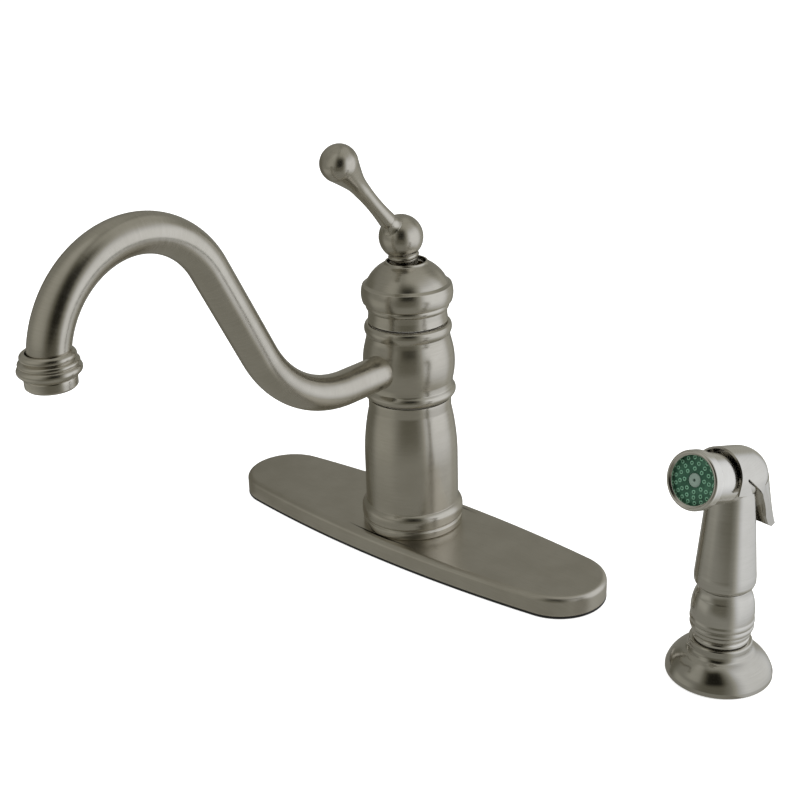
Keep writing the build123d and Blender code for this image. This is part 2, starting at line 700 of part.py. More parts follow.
heading = radians(SPRAY_HEADING)
FORWARD = Vector(cos(heading), sin(heading), 0)
SIDEWAYS = Vector(sin(heading), -cos(heading), 0)
SPRAY_FOOT = Vector(SPRAY_X, SPRAY_Y, 0)
SPRAY_SIDE = Plane(origin=SPRAY_FOOT, x_dir=FORWARD, z_dir=SIDEWAYS)
SPRAY_AXIS = Axis(SPRAY_FOOT, (0, 0, 1))


def spray_level(z):
    """Horizontal plane at height z, with its x along the spray's heading."""
    return Plane(origin=(SPRAY_X, SPRAY_Y, z), x_dir=FORWARD, z_dir=(0, 0, 1))


HOLDER_BORE = 10.6
HOLDER_SHANK = 14.2

with BuildPart() as holder_gasket:
    with BuildSketch(spray_level(0.0)):
        ring_faces(HOLDER_SHANK + 0.5, 24.6)
    extrude(amount=1.2)
keep(holder_gasket.part, "holder_gasket")

# The holder's threaded tube screws into the domed flange. Together they guide the hose.
with BuildPart() as holder_shank:
    with BuildSketch(SPRAY_SIDE):
        with BuildLine():
            Polyline((HOLDER_SHANK, 9.2), (HOLDER_SHANK, -39.2), (HOLDER_SHANK - 0.8, -40.0))
            Polyline((HOLDER_SHANK - 0.8, -40.0), (HOLDER_BORE, -40.0), (HOLDER_BORE, 4.2))
            Polyline((HOLDER_BORE, 4.2), (11.3, 9.2), (HOLDER_SHANK, 9.2))
        make_face()
    revolve(axis=SPRAY_AXIS)
keep(holder_shank.part, "holder_shank")

with BuildPart() as spray_holder:
    with BuildSketch(SPRAY_SIDE):
        with BuildLine():
            Polyline((HOLDER_SHANK + RUNNING, 1.2), (HOLDER_SHANK + RUNNING, 9.3), (11.35, 9.3))
            Polyline((11.35, 9.3), (12.75, 19.4), (14.7, 19.4), (15.2, 18.9), (15.2, 17.0))
            ThreePointArc((15.2, 17.0), (15.6, 14.7), (17.0, 13.4))
            ThreePointArc((17.0, 13.4), (22.5, 9.0), (25.8, 2.8))
            Polyline((25.8, 2.8), (25.8, 0.7), (25.4, 0.3), (24.95, 0.3), (24.95, 1.2), (22.5, 1.2))
            ThreePointArc((22.5, 1.2), (20.4, 6.4), (16.4, 10.4))
            Polyline((16.4, 10.4), (16.4, 1.2), (HOLDER_SHANK + RUNNING, 1.2))
        make_face()
    revolve(axis=SPRAY_AXIS)
keep(spray_holder.part, "spray_holder")

with BuildPart() as holder_washer:
    with BuildSketch(spray_level(-DECK_THICKNESS - 1.6)):
        ring_faces(HOLDER_SHANK + 0.4, 22.0)
    extrude(amount=1.6)
keep(holder_washer.part, "holder_washer")

with BuildPart() as holder_nut:
    with BuildSketch(spray_level(-DECK_THICKNESS - 9.8)):
        RegularPolygon(radius=18.5, side_count=6, major_radius=False)
        Circle(HOLDER_SHANK + RUNNING, mode=Mode.SUBTRACT)
    extrude(amount=8.0)
keep(holder_nut.part, "holder_nut")

# =====================================================================
# Spray: hose connector, then the handle that turns on it
# =====================================================================

CONNECTOR_RADIUS = 8.15
CONNECTOR_BOTTOM = -7.0

with BuildPart() as hose_connector:
    with BuildSketch(SPRAY_SIDE):
        with BuildLine():
            Polyline((0, 34.0), (CONNECTOR_RADIUS, 34.0), (CONNECTOR_RADIUS, 26.2), (6.6, 26.2))
            Polyline((6.6, 26.2), (6.6, 24.2), (CONNECTOR_RADIUS, 24.2), (CONNECTOR_RADIUS, 4.0))
            Polyline((CONNECTOR_RADIUS, 4.0), (9.2, 3.6), (9.2, -6.4), (8.6, CONNECTOR_BOTTOM))
            Polyline((8.6, CONNECTOR_BOTTOM), (0, CONNECTOR_BOTTOM), (0, 34.0))
        make_face()
    revolve(axis=SPRAY_AXIS)
    with BuildSketch(spray_level(CONNECTOR_BOTTOM)):
        Circle(5.6)
    extrude(amount=14.0, mode=Mode.SUBTRACT)
    with BuildSketch(spray_level(7.0)):
        Circle(3.6)
    extrude(amount=27.0, mode=Mode.SUBTRACT)
keep(hose_connector.part, "hose_connector")

with BuildPart() as connector_seal:
    with BuildSketch(SPRAY_SIDE):
        with Locations((7.35, 25.2)):
            Circle(0.7)
    revolve(axis=SPRAY_AXIS)
keep(connector_seal.part, "connector_seal")

RIB_TOPS = (25.6, 29.0, 32.4)

with BuildPart() as grip_collar:
    with BuildSketch(SPRAY_SIDE):
        with BuildLine():
            Polyline((8.2, 4.6), (10.3, 4.6), (12.35, 19.2), (12.35, 19.8), (13.2, 19.8), (13.6, 20.3))
            Polyline((13.6, 20.3), (13.6, 21.5), (12.9, 22.1))
            ThreePointArc((12.9, 22.1), (14.2, 23.8), (14.3, RIB_TOPS[0]))
            ThreePointArc((14.3, RIB_TOPS[0]), (15.3, 27.2), (14.9, RIB_TOPS[1]))
            ThreePointArc((14.9, RIB_TOPS[1]), (15.5, 30.7), (15.1, RIB_TOPS[2]))
            ThreePointArc((15.1, RIB_TOPS[2]), (15.2, 37.0), (13.9, 43.8))
            ThreePointArc((13.9, 43.8), (13.1, 45.8), (12.7, 48.7))
            Polyline((12.7, 48.7), (10.5, 48.7), (10.5, 36.2), (8.2, 36.2), (8.2, 4.6))
        make_face()
    revolve(axis=SPRAY_AXIS)
keep(grip_collar.part, "grip_collar")

tilt = radians(HEAD_TILT)
HEAD_CENTRE = SPRAY_FOOT + Vector(0, 0, HEAD_Z)
HEAD_DIR = FORWARD * cos(tilt) + Vector(0, 0, sin(tilt))
HEAD_SIDE = Plane(origin=HEAD_CENTRE, x_dir=HEAD_DIR, z_dir=SIDEWAYS)
HEAD_AXIS = Axis(HEAD_CENTRE, HEAD_DIR)


def head_plane(distance):
    """Plane square to the head's axis, at a distance forward of the handle's axis."""
    return Plane(origin=HEAD_CENTRE + HEAD_DIR * distance, z_dir=HEAD_DIR)


SPIGOT_RADIUS = 9.3
GUIDE_TOP = 109.6
SHELF_Z = 104.5

with BuildPart() as spray_body:
    with BuildSketch(SPRAY_SIDE):
        with BuildLine():
            Polyline((0, 36.6), (10.4, 36.6), (10.4, 48.9), (12.7, 48.9))
            ThreePointArc((12.7, 48.9), (14.1, 50.4), (14.6, 53.0))
            ThreePointArc((14.6, 53.0), (14.6, 54.8), (14.4, 57.0))
            Line((14.4, 57.0), (11.9, 88.0))
            Polyline((11.9, 88.0), (11.2, 100.0), (0, 104.0), (0, 36.6))
        make_face()
    revolve(axis=SPRAY_AXIS)
    with BuildSketch(head_plane(SEAM)):
        Circle(HEAD_RADIUS + 0.4)
    extrude(amount=20.0, mode=Mode.SUBTRACT)
    with BuildSketch(HEAD_SIDE):
        with BuildLine():
            Polyline((SEAM + 6.0, 0), (SEAM + 6.0, SPIGOT_RADIUS), (SEAM, SPIGOT_RADIUS))
            Polyline((SEAM, SPIGOT_RADIUS), (SEAM, HEAD_RADIUS), (-2.0, HEAD_RADIUS))
            ThreePointArc((-2.0, HEAD_RADIUS), (-6.5, 10.9), (-9.5, 8.5))
            Polyline((-9.5, 8.5), (-9.5, 0), (SEAM + 6.0, 0))
        make_face()
    revolve(axis=HEAD_AXIS)
    # a low shelf behind the pivot, and the plunger's guide standing on it
    with BuildSketch(SPRAY_SIDE):
        with Locations((-11.9, SHELF_Z + 8.0)):
            Rectangle(20.0, 16.0)
    extrude(amount=15.0, both=True, mode=Mode.SUBTRACT)
    with BuildSketch(spray_level(96.0)):
        with Locations((PLUNGER_X, 0)):
            Circle(5.2)
    extrude(amount=GUIDE_TOP - 96.0)
    # water way: up the handle, through the valve chamber, and forward to the nozzle
    with BuildSketch(spray_level(36.6)):
        Circle(5.5)
    extrude(amount=43.4, mode=Mode.SUBTRACT)
    with BuildSketch(spray_level(76.0)):
        with Locations((PLUNGER_X, 0)):
            Circle(4.0)
    extrude(amount=13.4, mode=Mode.SUBTRACT)
    with BuildSketch(spray_level(89.4)):
        with Locations((PLUNGER_X, 0)):
            Circle(3.5)
    extrude(amount=7.4, mode=Mode.SUBTRACT)
    with BuildSketch(spray_level(96.8)):
        with Locations((PLUNGER_X, 0)):
            Circle(2.9)
    extrude(amount=2.0, mode=Mode.SUBTRACT)
    with BuildSketch(spray_level(98.8)):
        with Locations((PLUNGER_X, 0)):
            Circle(1.65)
    extrude(amount=2.4, mode=Mode.SUBTRACT)
    with BuildSketch(spray_level(101.2)):
        with Locations((PLUNGER_X, 0)):
            Circle(4.0)
    extrude(amount=10.0, mode=Mode.SUBTRACT)
    WATER_WAY = FORWARD * cos(radians(36)) + Vector(0, 0, sin(radians(36)))
    with BuildSketch(
        Plane(origin=SPRAY_FOOT + FORWARD * PLUNGER_X + Vector(0, 0, 93.0), z_dir=WATER_WAY)
    ):
        Circle(2.3)
    extrude(amount=21.0, mode=Mode.SUBTRACT)
    with BuildSketch(head_plane(8.0)):
        Circle(6.0)
    extrude(amount=12.0, mode=Mode.SUBTRACT)
    # a socket on each side for the trigger's pegs
    for side in (-1, 1):
        with BuildSketch(SPRAY_SIDE.offset(side * 7.6)):
            with Locations(TRIGGER_PIVOT):
                Circle(PEG_RADIUS + RUNNING)
        extrude(amount=side * 8.0, mode=Mode.SUBTRACT)
keep(spray_body.part, "spray_body")

with BuildPart() as nozzle_ring:
    with BuildSketch(HEAD_SIDE):
        with BuildLine():
            Polyline((SEAM + 0.3, SPIGOT_RADIUS + RUNNING), (SEAM + 0.3, 11.7), (SEAM + 0.8, 12.1))
            Line((SEAM + 0.8, 12.1), (24.4, 12.1))
            ThreePointArc((24.4, 12.1), (25.6, 12.5), (26.3, 13.4))
            Polyline((26.3, 13.4), (26.9, 13.9), (RIM - 1.6, 13.9))
            ThreePointArc((RIM - 1.6, 13.9), (RIM - 0.45, 13.6), (RIM, 12.9))
            Polyline((RIM, 12.9), (RIM, 12.5), (RIM - 0.5, 12.1), (DISC - 2.7, 12.1), (DISC - 2.7, 10.3))
            Line((DISC - 2.7, 10.3), (SEAM + 6.2, 10.3))
            Polyline(
                (SEAM + 6.2, 10.3), (SEAM + 6.2, SPIGOT_RADIUS + RUNNING),
                (SEAM + 0.3, SPIGOT_RADIUS + RUNNING),
            )
        make_face()
    revolve(axis=HEAD_AXIS)
keep(nozzle_ring.part, "nozzle_ring")

# The face is a slightly domed disc, set back in the rim, with three rings of jets round a button.
with BuildPart() as spray_face:
    with BuildSketch(HEAD_SIDE):
        with BuildLine():
            Polyline((DISC - 2.6, 3.3), (DISC - 2.6, 12.0), (DISC - 0.9, 12.0))
            ThreePointArc((DISC - 0.9, 12.0), (DISC - 0.45, 7.8), (DISC - 0.3, 3.3))
            Line((DISC - 0.3, 3.3), (DISC - 2.6, 3.3))
        make_face()
    revolve(axis=HEAD_AXIS)
    with BuildSketch(head_plane(DISC - 2.6)):
        for radius, count in ((5.2, 8), (7.7, 13), (10.2, 18)):
            with PolarLocations(radius, count):
                Circle(0.55)
    extrude(amount=3.0, mode=Mode.SUBTRACT)
keep(spray_face.part, "spray_face")

with BuildPart() as face_button:
    with BuildSketch(HEAD_SIDE):
        with BuildLine():
            Polyline((DISC - 4.3, 0), (DISC - 4.3, 2.4), (DISC - 2.6, 2.4), (DISC - 2.6, 3.25))
            Polyline((DISC - 2.6, 3.25), (DISC - 0.3, 3.25), (DISC, 2.4), (DISC + 0.1, 1.0))
            Polyline((DISC + 0.1, 1.0), (DISC + 0.1, 0), (DISC - 4.3, 0))
        make_face()
    revolve(axis=HEAD_AXIS)
keep(face_button.part, "face_button")

with BuildPart() as stream_plate:
    with BuildSketch(head_plane(DISC - 6.6)):
        Circle(10.2)
        with PolarLocations(7.0, 10):
            Circle(1.0, mode=Mode.SUBTRACT)
    extrude(amount=2.0)
keep(stream_plate.part, "stream_plate")

# The trigger is one hollow moulding: a hood over the head and a tongue down behind the handle.
# It is worked out on the spray's side plane, then hollowed, and keeps two pegs to turn on.
HOOD_CENTRE = HEAD_CENTRE + HEAD_SIDE.y_dir * HOOD_RISE
HOOD_SIDE = Plane(origin=HOOD_CENTRE, x_dir=HEAD_DIR, z_dir=SIDEWAYS)
HOOD_PLAN = Plane(origin=HOOD_CENTRE, x_dir=HEAD_DIR, z_dir=HEAD_SIDE.y_dir)
HOOD_AXIS = Axis(HOOD_CENTRE, HEAD_DIR)
TONGUE_TOP = (-18.3, 107.0)
TONGUE_TIP = (-28.9, 75.6)
TONGUE_LENGTH = sqrt((TONGUE_TOP[0] - TONGUE_TIP[0])**2 + (TONGUE_TOP[1] - TONGUE_TIP[1])**2)
TONGUE_DIR = (
    FORWARD * ((TONGUE_TIP[0] - TONGUE_TOP[0]) / TONGUE_LENGTH)
    + Vector(0, 0, (TONGUE_TIP[1] - TONGUE_TOP[1]) / TONGUE_LENGTH)
)


def hood_profile(radius, front):
    """Half outline of the hood, turned about the head's axis: straight, then a round back."""
    back_radius = HOOD_BACK_RADIUS - (HOOD_RADIUS - radius)
    drop = HOOD_BACK_RADIUS - HOOD_RADIUS
    back = HOOD_BEND - sqrt(back_radius**2 - drop**2)
    with BuildLine() as outline:
        Polyline((back, 0), (front, 0), (front, radius), (HOOD_BEND, radius))
        ThreePointArc(
            (HOOD_BEND, radius),
            (HOOD_BEND - back_radius * cos(radians(48)), back_radius * sin(radians(48)) - drop),
            (back, 0),
        )
    make_face(outline.edges())


def tongue_section(half_width, crown, inset, depth):
    """Slice of the tongue: a crowned back and two straight sides, open side forward."""
    with BuildLine() as outline:
        ThreePointArc((-half_width, -crown - inset), (0, -inset), (half_width, -crown - inset))
        Polyline(
            (half_width, -crown - inset), (half_width, -crown - depth), (-half_width, -crown - depth),
            (-half_width, -crown - inset),
        )
    make_face(outline.edges())


def tongue_plane(along):
    """Plane square to the tongue, at a distance down from the point where the hood ends."""
    origin = SPRAY_FOOT + FORWARD * TONGUE_TOP[0] + Vector(0, 0, TONGUE_TOP[1])
    return Plane(origin=origin + TONGUE_DIR * along, x_dir=SIDEWAYS, z_dir=TONGUE_DIR)


with BuildPart() as trigger_hollow:
    with BuildSketch(HOOD_SIDE):
        hood_profile(HOOD_RADIUS - HOOD_WALL, HOOD_FRONT + 1.0)
    revolve(axis=HOOD_AXIS)
    with BuildSketch(HOOD_PLAN):
        hood_profile(HOOD_RADIUS - HOOD_WALL, HOOD_FRONT + 1.0)
        mirror(about=Plane.XZ)
    extrude(amount=-SKIRT)
    with BuildSketch(tongue_plane(-3.0)):
        tongue_section(TONGUE_HALF_TOP - TONGUE_WALL, 10.0, TONGUE_WALL, 22.0)
    with BuildSketch(tongue_plane(TONGUE_LENGTH - TONGUE_WALL)):
        tongue_section(TONGUE_HALF_TIP - TONGUE_WALL, 2.6, TONGUE_WALL, 22.0)
    loft()

with BuildPart() as trigger:
    with BuildSketch(HOOD_SIDE):
        hood_profile(HOOD_RADIUS, HOOD_FRONT)
    revolve(axis=HOOD_AXIS)
    with BuildSketch(HOOD_PLAN):
        hood_profile(HOOD_RADIUS, HOOD_FRONT)
        mirror(about=Plane.XZ)
    extrude(amount=-SKIRT)
    with BuildSketch(tongue_plane(0.0)):
        tongue_section(TONGUE_HALF_TOP, 11.6, 0.0, 9.0)
    with BuildSketch(tongue_plane(TONGUE_LENGTH)):
        tongue_section(TONGUE_HALF_TIP, 2.8, 0.0, 9.0)
    loft()
    # the side's lower edge: along the skirt, up into a notch, and down the tongue's wall
    with BuildSketch(SPRAY_SIDE):
        with BuildLine():
            Polyline((20.0, 130.0), (20.0, 106.6), (3.4, 101.5), (2.9, 102.2), (6.9, 110.0))
            ThreePointArc((6.9, 110.0), (6.6, 110.9), (5.7, 110.6))
            Polyline((5.7, 110.6), (-0.9, 104.2))
            ThreePointArc((-0.9, 104.2), (-9.4, 94.4), (-15.6, 82.4))
            Polyline((-15.6, 82.4), (-19.6, 76.6), (-26.0, 72.0), (-40.0, 72.0), (-40.0, 130.0), (20.0, 130.0))
        make_face()
    extrude(amount=20.0, both=True, mode=Mode.INTERSECT)
    add(trigger_hollow.part, mode=Mode.SUBTRACT)
    for side in (-1, 1):
        with BuildSketch(SPRAY_SIDE.offset(side * 7.9)):
            with Locations(TRIGGER_PIVOT):
                Circle(PEG_RADIUS)
        extrude(amount=side * 2.9)
keep(trigger.part, "trigger")

# Valve in the handle: a seat, a plunger that the trigger's roof presses, its seal and spring.
PLUNGER_FOOT = SPRAY_FOOT + FORWARD * PLUNGER_X
PLUNGER_SIDE = Plane(origin=PLUNGER_FOOT, x_dir=FORWARD, z_dir=SIDEWAYS)
PLUNGER_AXIS = Axis(PLUNGER_FOOT, (0, 0, 1))


def plunger_level(z):
    """Horizontal plane at height z, centred on the plunger."""
    return Plane(origin=PLUNGER_FOOT + Vector(0, 0, z), x_dir=FORWARD, z_dir=(0, 0, 1))


with BuildPart() as valve_seat:
    with BuildSketch(plunger_level(87.4)):
        ring_faces(2.2, 4.0 - RUNNING)
    extrude(amount=1.9)
keep(valve_seat.part, "valve_seat")

with BuildPart() as stem_seal:
    with BuildSketch(PLUNGER_SIDE):
        with Locations((2.25, 97.9)):
            Circle(0.55)
    revolve(axis=PLUNGER_AXIS)
keep(stem_seal.part, "stem_seal")

with BuildPart() as plunger:
    with BuildSketch(PLUNGER_SIDE):
        with BuildLine():
            Polyline((0, 84.6), (2.9, 84.6), (3.2, 85.2), (3.2, 87.1), (1.6, 87.1), (1.6, 109.4))
            Polyline((1.6, 109.4), (3.7, 109.4), (3.7, 111.0), (2.9, 111.3), (2.9, 114.7))
            ThreePointArc((2.9, 114.7), (2.9 * cos(radians(45)), 114.7 + 2.9 * sin(radians(45))), (0, 117.6))
            Line((0, 117.6), (0, 84.6))
        make_face()
    revolve(axis=PLUNGER_AXIS)
keep(plunger.part, "plunger")

SPRING_WIRE = 0.35
SPRING_RADIUS = 2.8
SPRING_BOTTOM = 101.6
SPRING_TOP = 109.0
SPRING_PITCH = 1.6

with BuildPart() as plunger_spring:
    with BuildLine(plunger_level(SPRING_BOTTOM)) as spring_line:
        Helix(pitch=SPRING_PITCH, height=SPRING_TOP - SPRING_BOTTOM, radius=SPRING_RADIUS)
    with BuildSketch(Plane(origin=spring_line.line @ 0, z_dir=spring_line.line % 0)):
        Circle(SPRING_WIRE)
    sweep(path=spring_line.line, is_frenet=True)
keep(plunger_spring.part, "plunger_spring")
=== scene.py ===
import json
from math import cos, pi, radians, sin

import bpy
import numpy as np
from mathutils import Matrix, Vector


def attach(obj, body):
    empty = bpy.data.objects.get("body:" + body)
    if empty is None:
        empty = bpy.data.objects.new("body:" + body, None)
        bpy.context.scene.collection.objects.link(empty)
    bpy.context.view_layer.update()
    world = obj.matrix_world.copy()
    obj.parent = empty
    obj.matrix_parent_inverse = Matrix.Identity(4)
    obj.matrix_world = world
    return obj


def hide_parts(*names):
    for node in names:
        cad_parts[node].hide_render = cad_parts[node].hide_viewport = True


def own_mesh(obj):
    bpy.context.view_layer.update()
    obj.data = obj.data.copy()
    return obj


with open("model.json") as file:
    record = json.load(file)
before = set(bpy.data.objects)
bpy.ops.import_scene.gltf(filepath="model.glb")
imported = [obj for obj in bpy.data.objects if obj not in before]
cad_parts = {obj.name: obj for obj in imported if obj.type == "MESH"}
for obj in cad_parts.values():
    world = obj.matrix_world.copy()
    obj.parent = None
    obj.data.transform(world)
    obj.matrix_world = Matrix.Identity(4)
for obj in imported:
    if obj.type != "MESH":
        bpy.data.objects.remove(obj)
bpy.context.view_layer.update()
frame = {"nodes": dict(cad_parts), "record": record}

# =====================================================================
# Camera: the photograph's view, from the front right and above.
# Its place and its three turns were solved from the outlines of the object.
# =====================================================================

yaw, pitch, roll = radians(-42.2289), radians(22.7096), radians(1.68846)
ahead = Vector((sin(yaw) * cos(pitch), cos(yaw) * cos(pitch), -sin(pitch)))
level = Vector((cos(yaw), -sin(yaw), 0))
down = ahead.cross(level)
across = level * cos(roll) + down * sin(roll)
upward = level * sin(roll) - down * cos(roll)
camera_data = bpy.data.cameras.new("photo_view")
camera_data.lens = 61.363
camera_data.sensor_width = 36.0
camera_data.clip_start = 0.05
camera_data.clip_end = 50.0
camera = bpy.data.objects.new("photo_view", camera_data)
camera.matrix_world = Matrix((across, upward, -ahead)).transposed().to_4x4()
camera.location = (0.474117, -0.530727, 0.385267)
bpy.context.scene.collection.objects.link(camera)
bpy.context.scene.camera = camera

# =====================================================================
# Studio: a white surround and floor for the camera, and three soft lamps. Round the object stand
# soft boards on a sphere that only metal shows, which give it its light and dark bands.
# =====================================================================

bpy.context.scene.view_settings.view_transform = "Standard"


def math_node(tree, operation, first, second=None, third=None):
    """Adds a Math node; each input is a number or a socket. Returns its output socket."""
    node = tree.nodes.new("ShaderNodeMath")
    node.operation = operation
    for socket, value in zip(node.inputs, (first, second, third)):
        if isinstance(value, (int, float)):
            socket.default_value = value
        elif value is not None:
            tree.links.new(value, socket)
    return node.outputs[0]


def smooth_step(tree, value, low, high, start=0.0, end=1.0):
    """Maps low..high of a socket to start..end with a smooth ramp. Returns the output socket."""
    node = tree.nodes.new("ShaderNodeMapRange")
    node.interpolation_type = "SMOOTHSTEP"
    tree.links.new(value, node.inputs["Value"])
    node.inputs["From Min"].default_value = low
    node.inputs["From Max"].default_value = high
    node.inputs["To Min"].default_value = start
    node.inputs["To Max"].default_value = end
    return node.outputs["Result"]


def vector_node(tree, operation, first, second=None):
    """Adds a Vector Math node; the second input is a vector of numbers. Returns the node."""
    node = tree.nodes.new("ShaderNodeVectorMath")
    node.operation = operation
    tree.links.new(first, node.inputs[0])
    if second is not None:
        node.inputs[1].default_value = second
    return node


def mix_colours(tree, factor, first, second):
    """Mixes two colours by a socket. Returns the colour socket."""
    node = tree.nodes.new("ShaderNodeMix")
    node.data_type = "RGBA"
    tree.links.new(factor, node.inputs[0])
    for socket, value in ((node.inputs[6], first), (node.inputs[7], second)):
        if isinstance(value, tuple):
            socket.default_value = (*value, 1.0)
        else:
            tree.links.new(value, socket)
    return node.outputs[2]


world = bpy.data.worlds.new("studio")
bpy.context.scene.world = world
world.use_nodes = True
tree = world.node_tree
soft = tree.nodes["Background"]
soft.inputs["Color"].default_value = (1.0, 0.99, 0.97, 1.0)
soft.inputs["Strength"].default_value = 0.38
white = tree.nodes.new("ShaderNodeBackground")
white.inputs["Color"].default_value = (1.0, 1.0, 1.0, 1.0)
choose = tree.nodes.new("ShaderNodeMixShader")
path = tree.nodes.new("ShaderNodeLightPath")
tree.links.new(path.outputs["Is Camera Ray"], choose.inputs[0])
tree.links.new(soft.outputs[0], choose.inputs[1])
tree.links.new(white.outputs[0], choose.inputs[2])
tree.links.new(choose.outputs[0], tree.nodes["World Output"].inputs["Surface"])

tent_radius, tent_rows, tent_columns = 0.5, 33, 65
tent_height, tent_turn = np.meshgrid(
    np.linspace(-pi / 2, pi / 2, tent_rows), np.linspace(0, 2 * pi, tent_columns), indexing="ij"
)
tent_points = tent_radius * np.stack([
    np.cos(tent_height) * np.cos(tent_turn), np.cos(tent_height) * np.sin(tent_turn), np.sin(tent_height),
], -1)
corner = (np.arange(tent_rows - 1)[:, None] * tent_columns + np.arange(tent_columns - 1)).ravel()
tent_mesh = bpy.data.meshes.new("reflection_tent")
tent_faces = np.stack([corner, corner + tent_columns, corner + tent_columns + 1, corner + 1], -1)
tent_mesh.from_pydata(tent_points.reshape(-1, 3).tolist(), [], tent_faces.tolist())
tent = bpy.data.objects.new("reflection_tent", tent_mesh)
tent.location = (0.0, 0.0, 0.15)
tent.visible_camera = tent.visible_diffuse = False
tent.visible_shadow = tent.visible_transmission = False
bpy.context.scene.collection.objects.link(tent)
tent_look = bpy.data.materials.new("reflection_boards")
tent_look.use_nodes = True
tent_look.cycles.emission_sampling = "NONE"
tree = tent_look.node_tree
tree.nodes.clear()
place = vector_node(tree, "NORMALIZE", tree.nodes.new("ShaderNodeTexCoord").outputs["Object"]).outputs[0]
view_side = radians(-48.2)
right_way, front_way = (-sin(view_side), cos(view_side), 0.0), (cos(view_side), sin(view_side), 0.0)
to_right, to_front, to_top = (
    vector_node(tree, "DOT_PRODUCT", place, way).outputs["Value"]
    for way in (right_way, front_way, (0.0, 0.0, 1.0))
)
bearing = math_node(tree, "ARCTAN2", to_right, to_front)
height = math_node(tree, "ARCSINE", to_top)
tone = 0.25
# each board: bearing and height in degrees where it fades in and out, and how much light it adds
for turn, lift, amount in (
    ((24, 48, 90, 122), (-54, -14, 16, 66), 0.58),
    ((92, 108, 134, 150), (-48, -32, 18, 34), 0.14),
    ((-45, -14, 12, 30), (-30, -18, 48, 68), -0.115),
    ((-24, -8, 12, 28), (-4, 8, 36, 56), -0.12),
    ((-84, -50, -34, -20), (-2, 10, 62, 74), 0.13),
    ((-112, -84, -56, -30), (-42, -22, -14, -2), 0.11),
    ((-172, -150, -118, -92), (-58, -30, 8, 36), -0.10),
    ((-30, 10, 150, 179), (38, 62, 95, 96), 0.14),
    ((-179, -150, -60, -30), (38, 62, 95, 96), 0.06),
):
    window = None
    for angle, (start, full, fading, gone) in ((bearing, turn), (height, lift)):
        rising = smooth_step(tree, angle, radians(start), radians(full))
        falling = smooth_step(tree, angle, radians(fading), radians(gone), 1.0, 0.0)
        part = math_node(tree, "MULTIPLY", rising, falling)
        window = part if window is None else math_node(tree, "MULTIPLY", window, part)
    tone = math_node(tree, "MULTIPLY_ADD", window, amount, tone)
tint = mix_colours(tree, smooth_step(tree, tone, 0.05, 0.26), (1.0, 0.95, 0.72), (1.0, 0.985, 0.875))
tint = mix_colours(tree, smooth_step(tree, tone, 0.32, 0.66), tint, (1.0, 1.02, 1.05))
boards = tree.nodes.new("ShaderNodeEmission")
tree.links.new(tint, boards.inputs["Color"])
tree.links.new(tone, boards.inputs["Strength"])
tree.links.new(boards.outputs[0], tree.nodes.new("ShaderNodeOutputMaterial").inputs["Surface"])
tent_mesh.materials.append(tent_look)

floor_mesh = bpy.data.meshes.new("deck_floor")
floor_mesh.from_pydata([(-9, -9, 0), (9, -9, 0), (9, 9, 0), (-9, 9, 0)], [], [(0, 1, 2, 3)])
floor = bpy.data.objects.new("deck_floor", floor_mesh)
floor.location = (0.1, 0.0, -0.0003)
bpy.context.scene.collection.objects.link(floor)
floor_look = bpy.data.materials.new("pale_floor")
floor_look.use_nodes = True
tree = floor_look.node_tree
tree.nodes.clear()
matt = tree.nodes.new("ShaderNodeBsdfDiffuse")
matt.inputs["Color"].default_value = (0.8, 0.8, 0.8, 1.0)
glow = tree.nodes.new("ShaderNodeEmission")
glow.inputs["Strength"].default_value = 0.74
lit = tree.nodes.new("ShaderNodeAddShader")
tree.links.new(matt.outputs[0], lit.inputs[0])
tree.links.new(glow.outputs[0], lit.inputs[1])
clear = tree.nodes.new("ShaderNodeBsdfTransparent")
seen = tree.nodes.new("ShaderNodeMixShader")
path = tree.nodes.new("ShaderNodeLightPath")
tree.links.new(path.outputs["Is Camera Ray"], seen.inputs[0])
tree.links.new(matt.outputs[0], seen.inputs[1])
tree.links.new(lit.outputs[0], seen.inputs[2])
mirror = tree.nodes.new("ShaderNodeMixShader")
tree.links.new(path.outputs["Is Glossy Ray"], mirror.inputs[0])
tree.links.new(seen.outputs[0], mirror.inputs[1])
tree.links.new(clear.outputs[0], mirror.inputs[2])
out = tree.nodes.new("ShaderNodeOutputMaterial")
tree.links.new(mirror.outputs[0], out.inputs["Surface"])
floor_mesh.materials.append(floor_look)

# seen by metal only: hides the parts under the deck from reflections that pass through the floor
screen_look = bpy.data.materials.new("under_deck_tone")
screen_look.use_nodes = True
tree = screen_look.node_tree
tree.nodes.clear()
even_glow = tree.nodes.new("ShaderNodeEmission")
even_glow.inputs["Color"].default_value = (1.0, 0.97, 0.86, 1.0)
even_glow.inputs["Strength"].default_value = 0.24
tree.links.new(even_glow.outputs[0], tree.nodes.new("ShaderNodeOutputMaterial").inputs["Surface"])
screen_look.cycles.emission_sampling = "NONE"
for name, x, y, half_x, half_y in (
    ("under_plate_screen", 0.0, 0.0, 0.12, 0.032),
    ("under_spray_screen", 0.2069, -0.0096, 0.024, 0.024),
):
    screen_mesh = bpy.data.meshes.new(name)
    plan = [(x + a * half_x, y + b * half_y) for a, b in ((-1, -1), (1, -1), (1, 1), (-1, 1))]
    corners = [(*point, level) for level in (-0.001, -0.09) for point in plan]
    sides = [(0, 1, 2, 3), (0, 1, 5, 4), (1, 2, 6, 5), (2, 3, 7, 6), (3, 0, 4, 7)]
    screen_mesh.from_pydata(corners, [], sides)
    screen_mesh.materials.append(screen_look)
    screen = bpy.data.objects.new(name, screen_mesh)
    screen.visible_camera = screen.visible_diffuse = False
    screen.visible_shadow = screen.visible_transmission = False
    bpy.context.scene.collection.objects.link(screen)

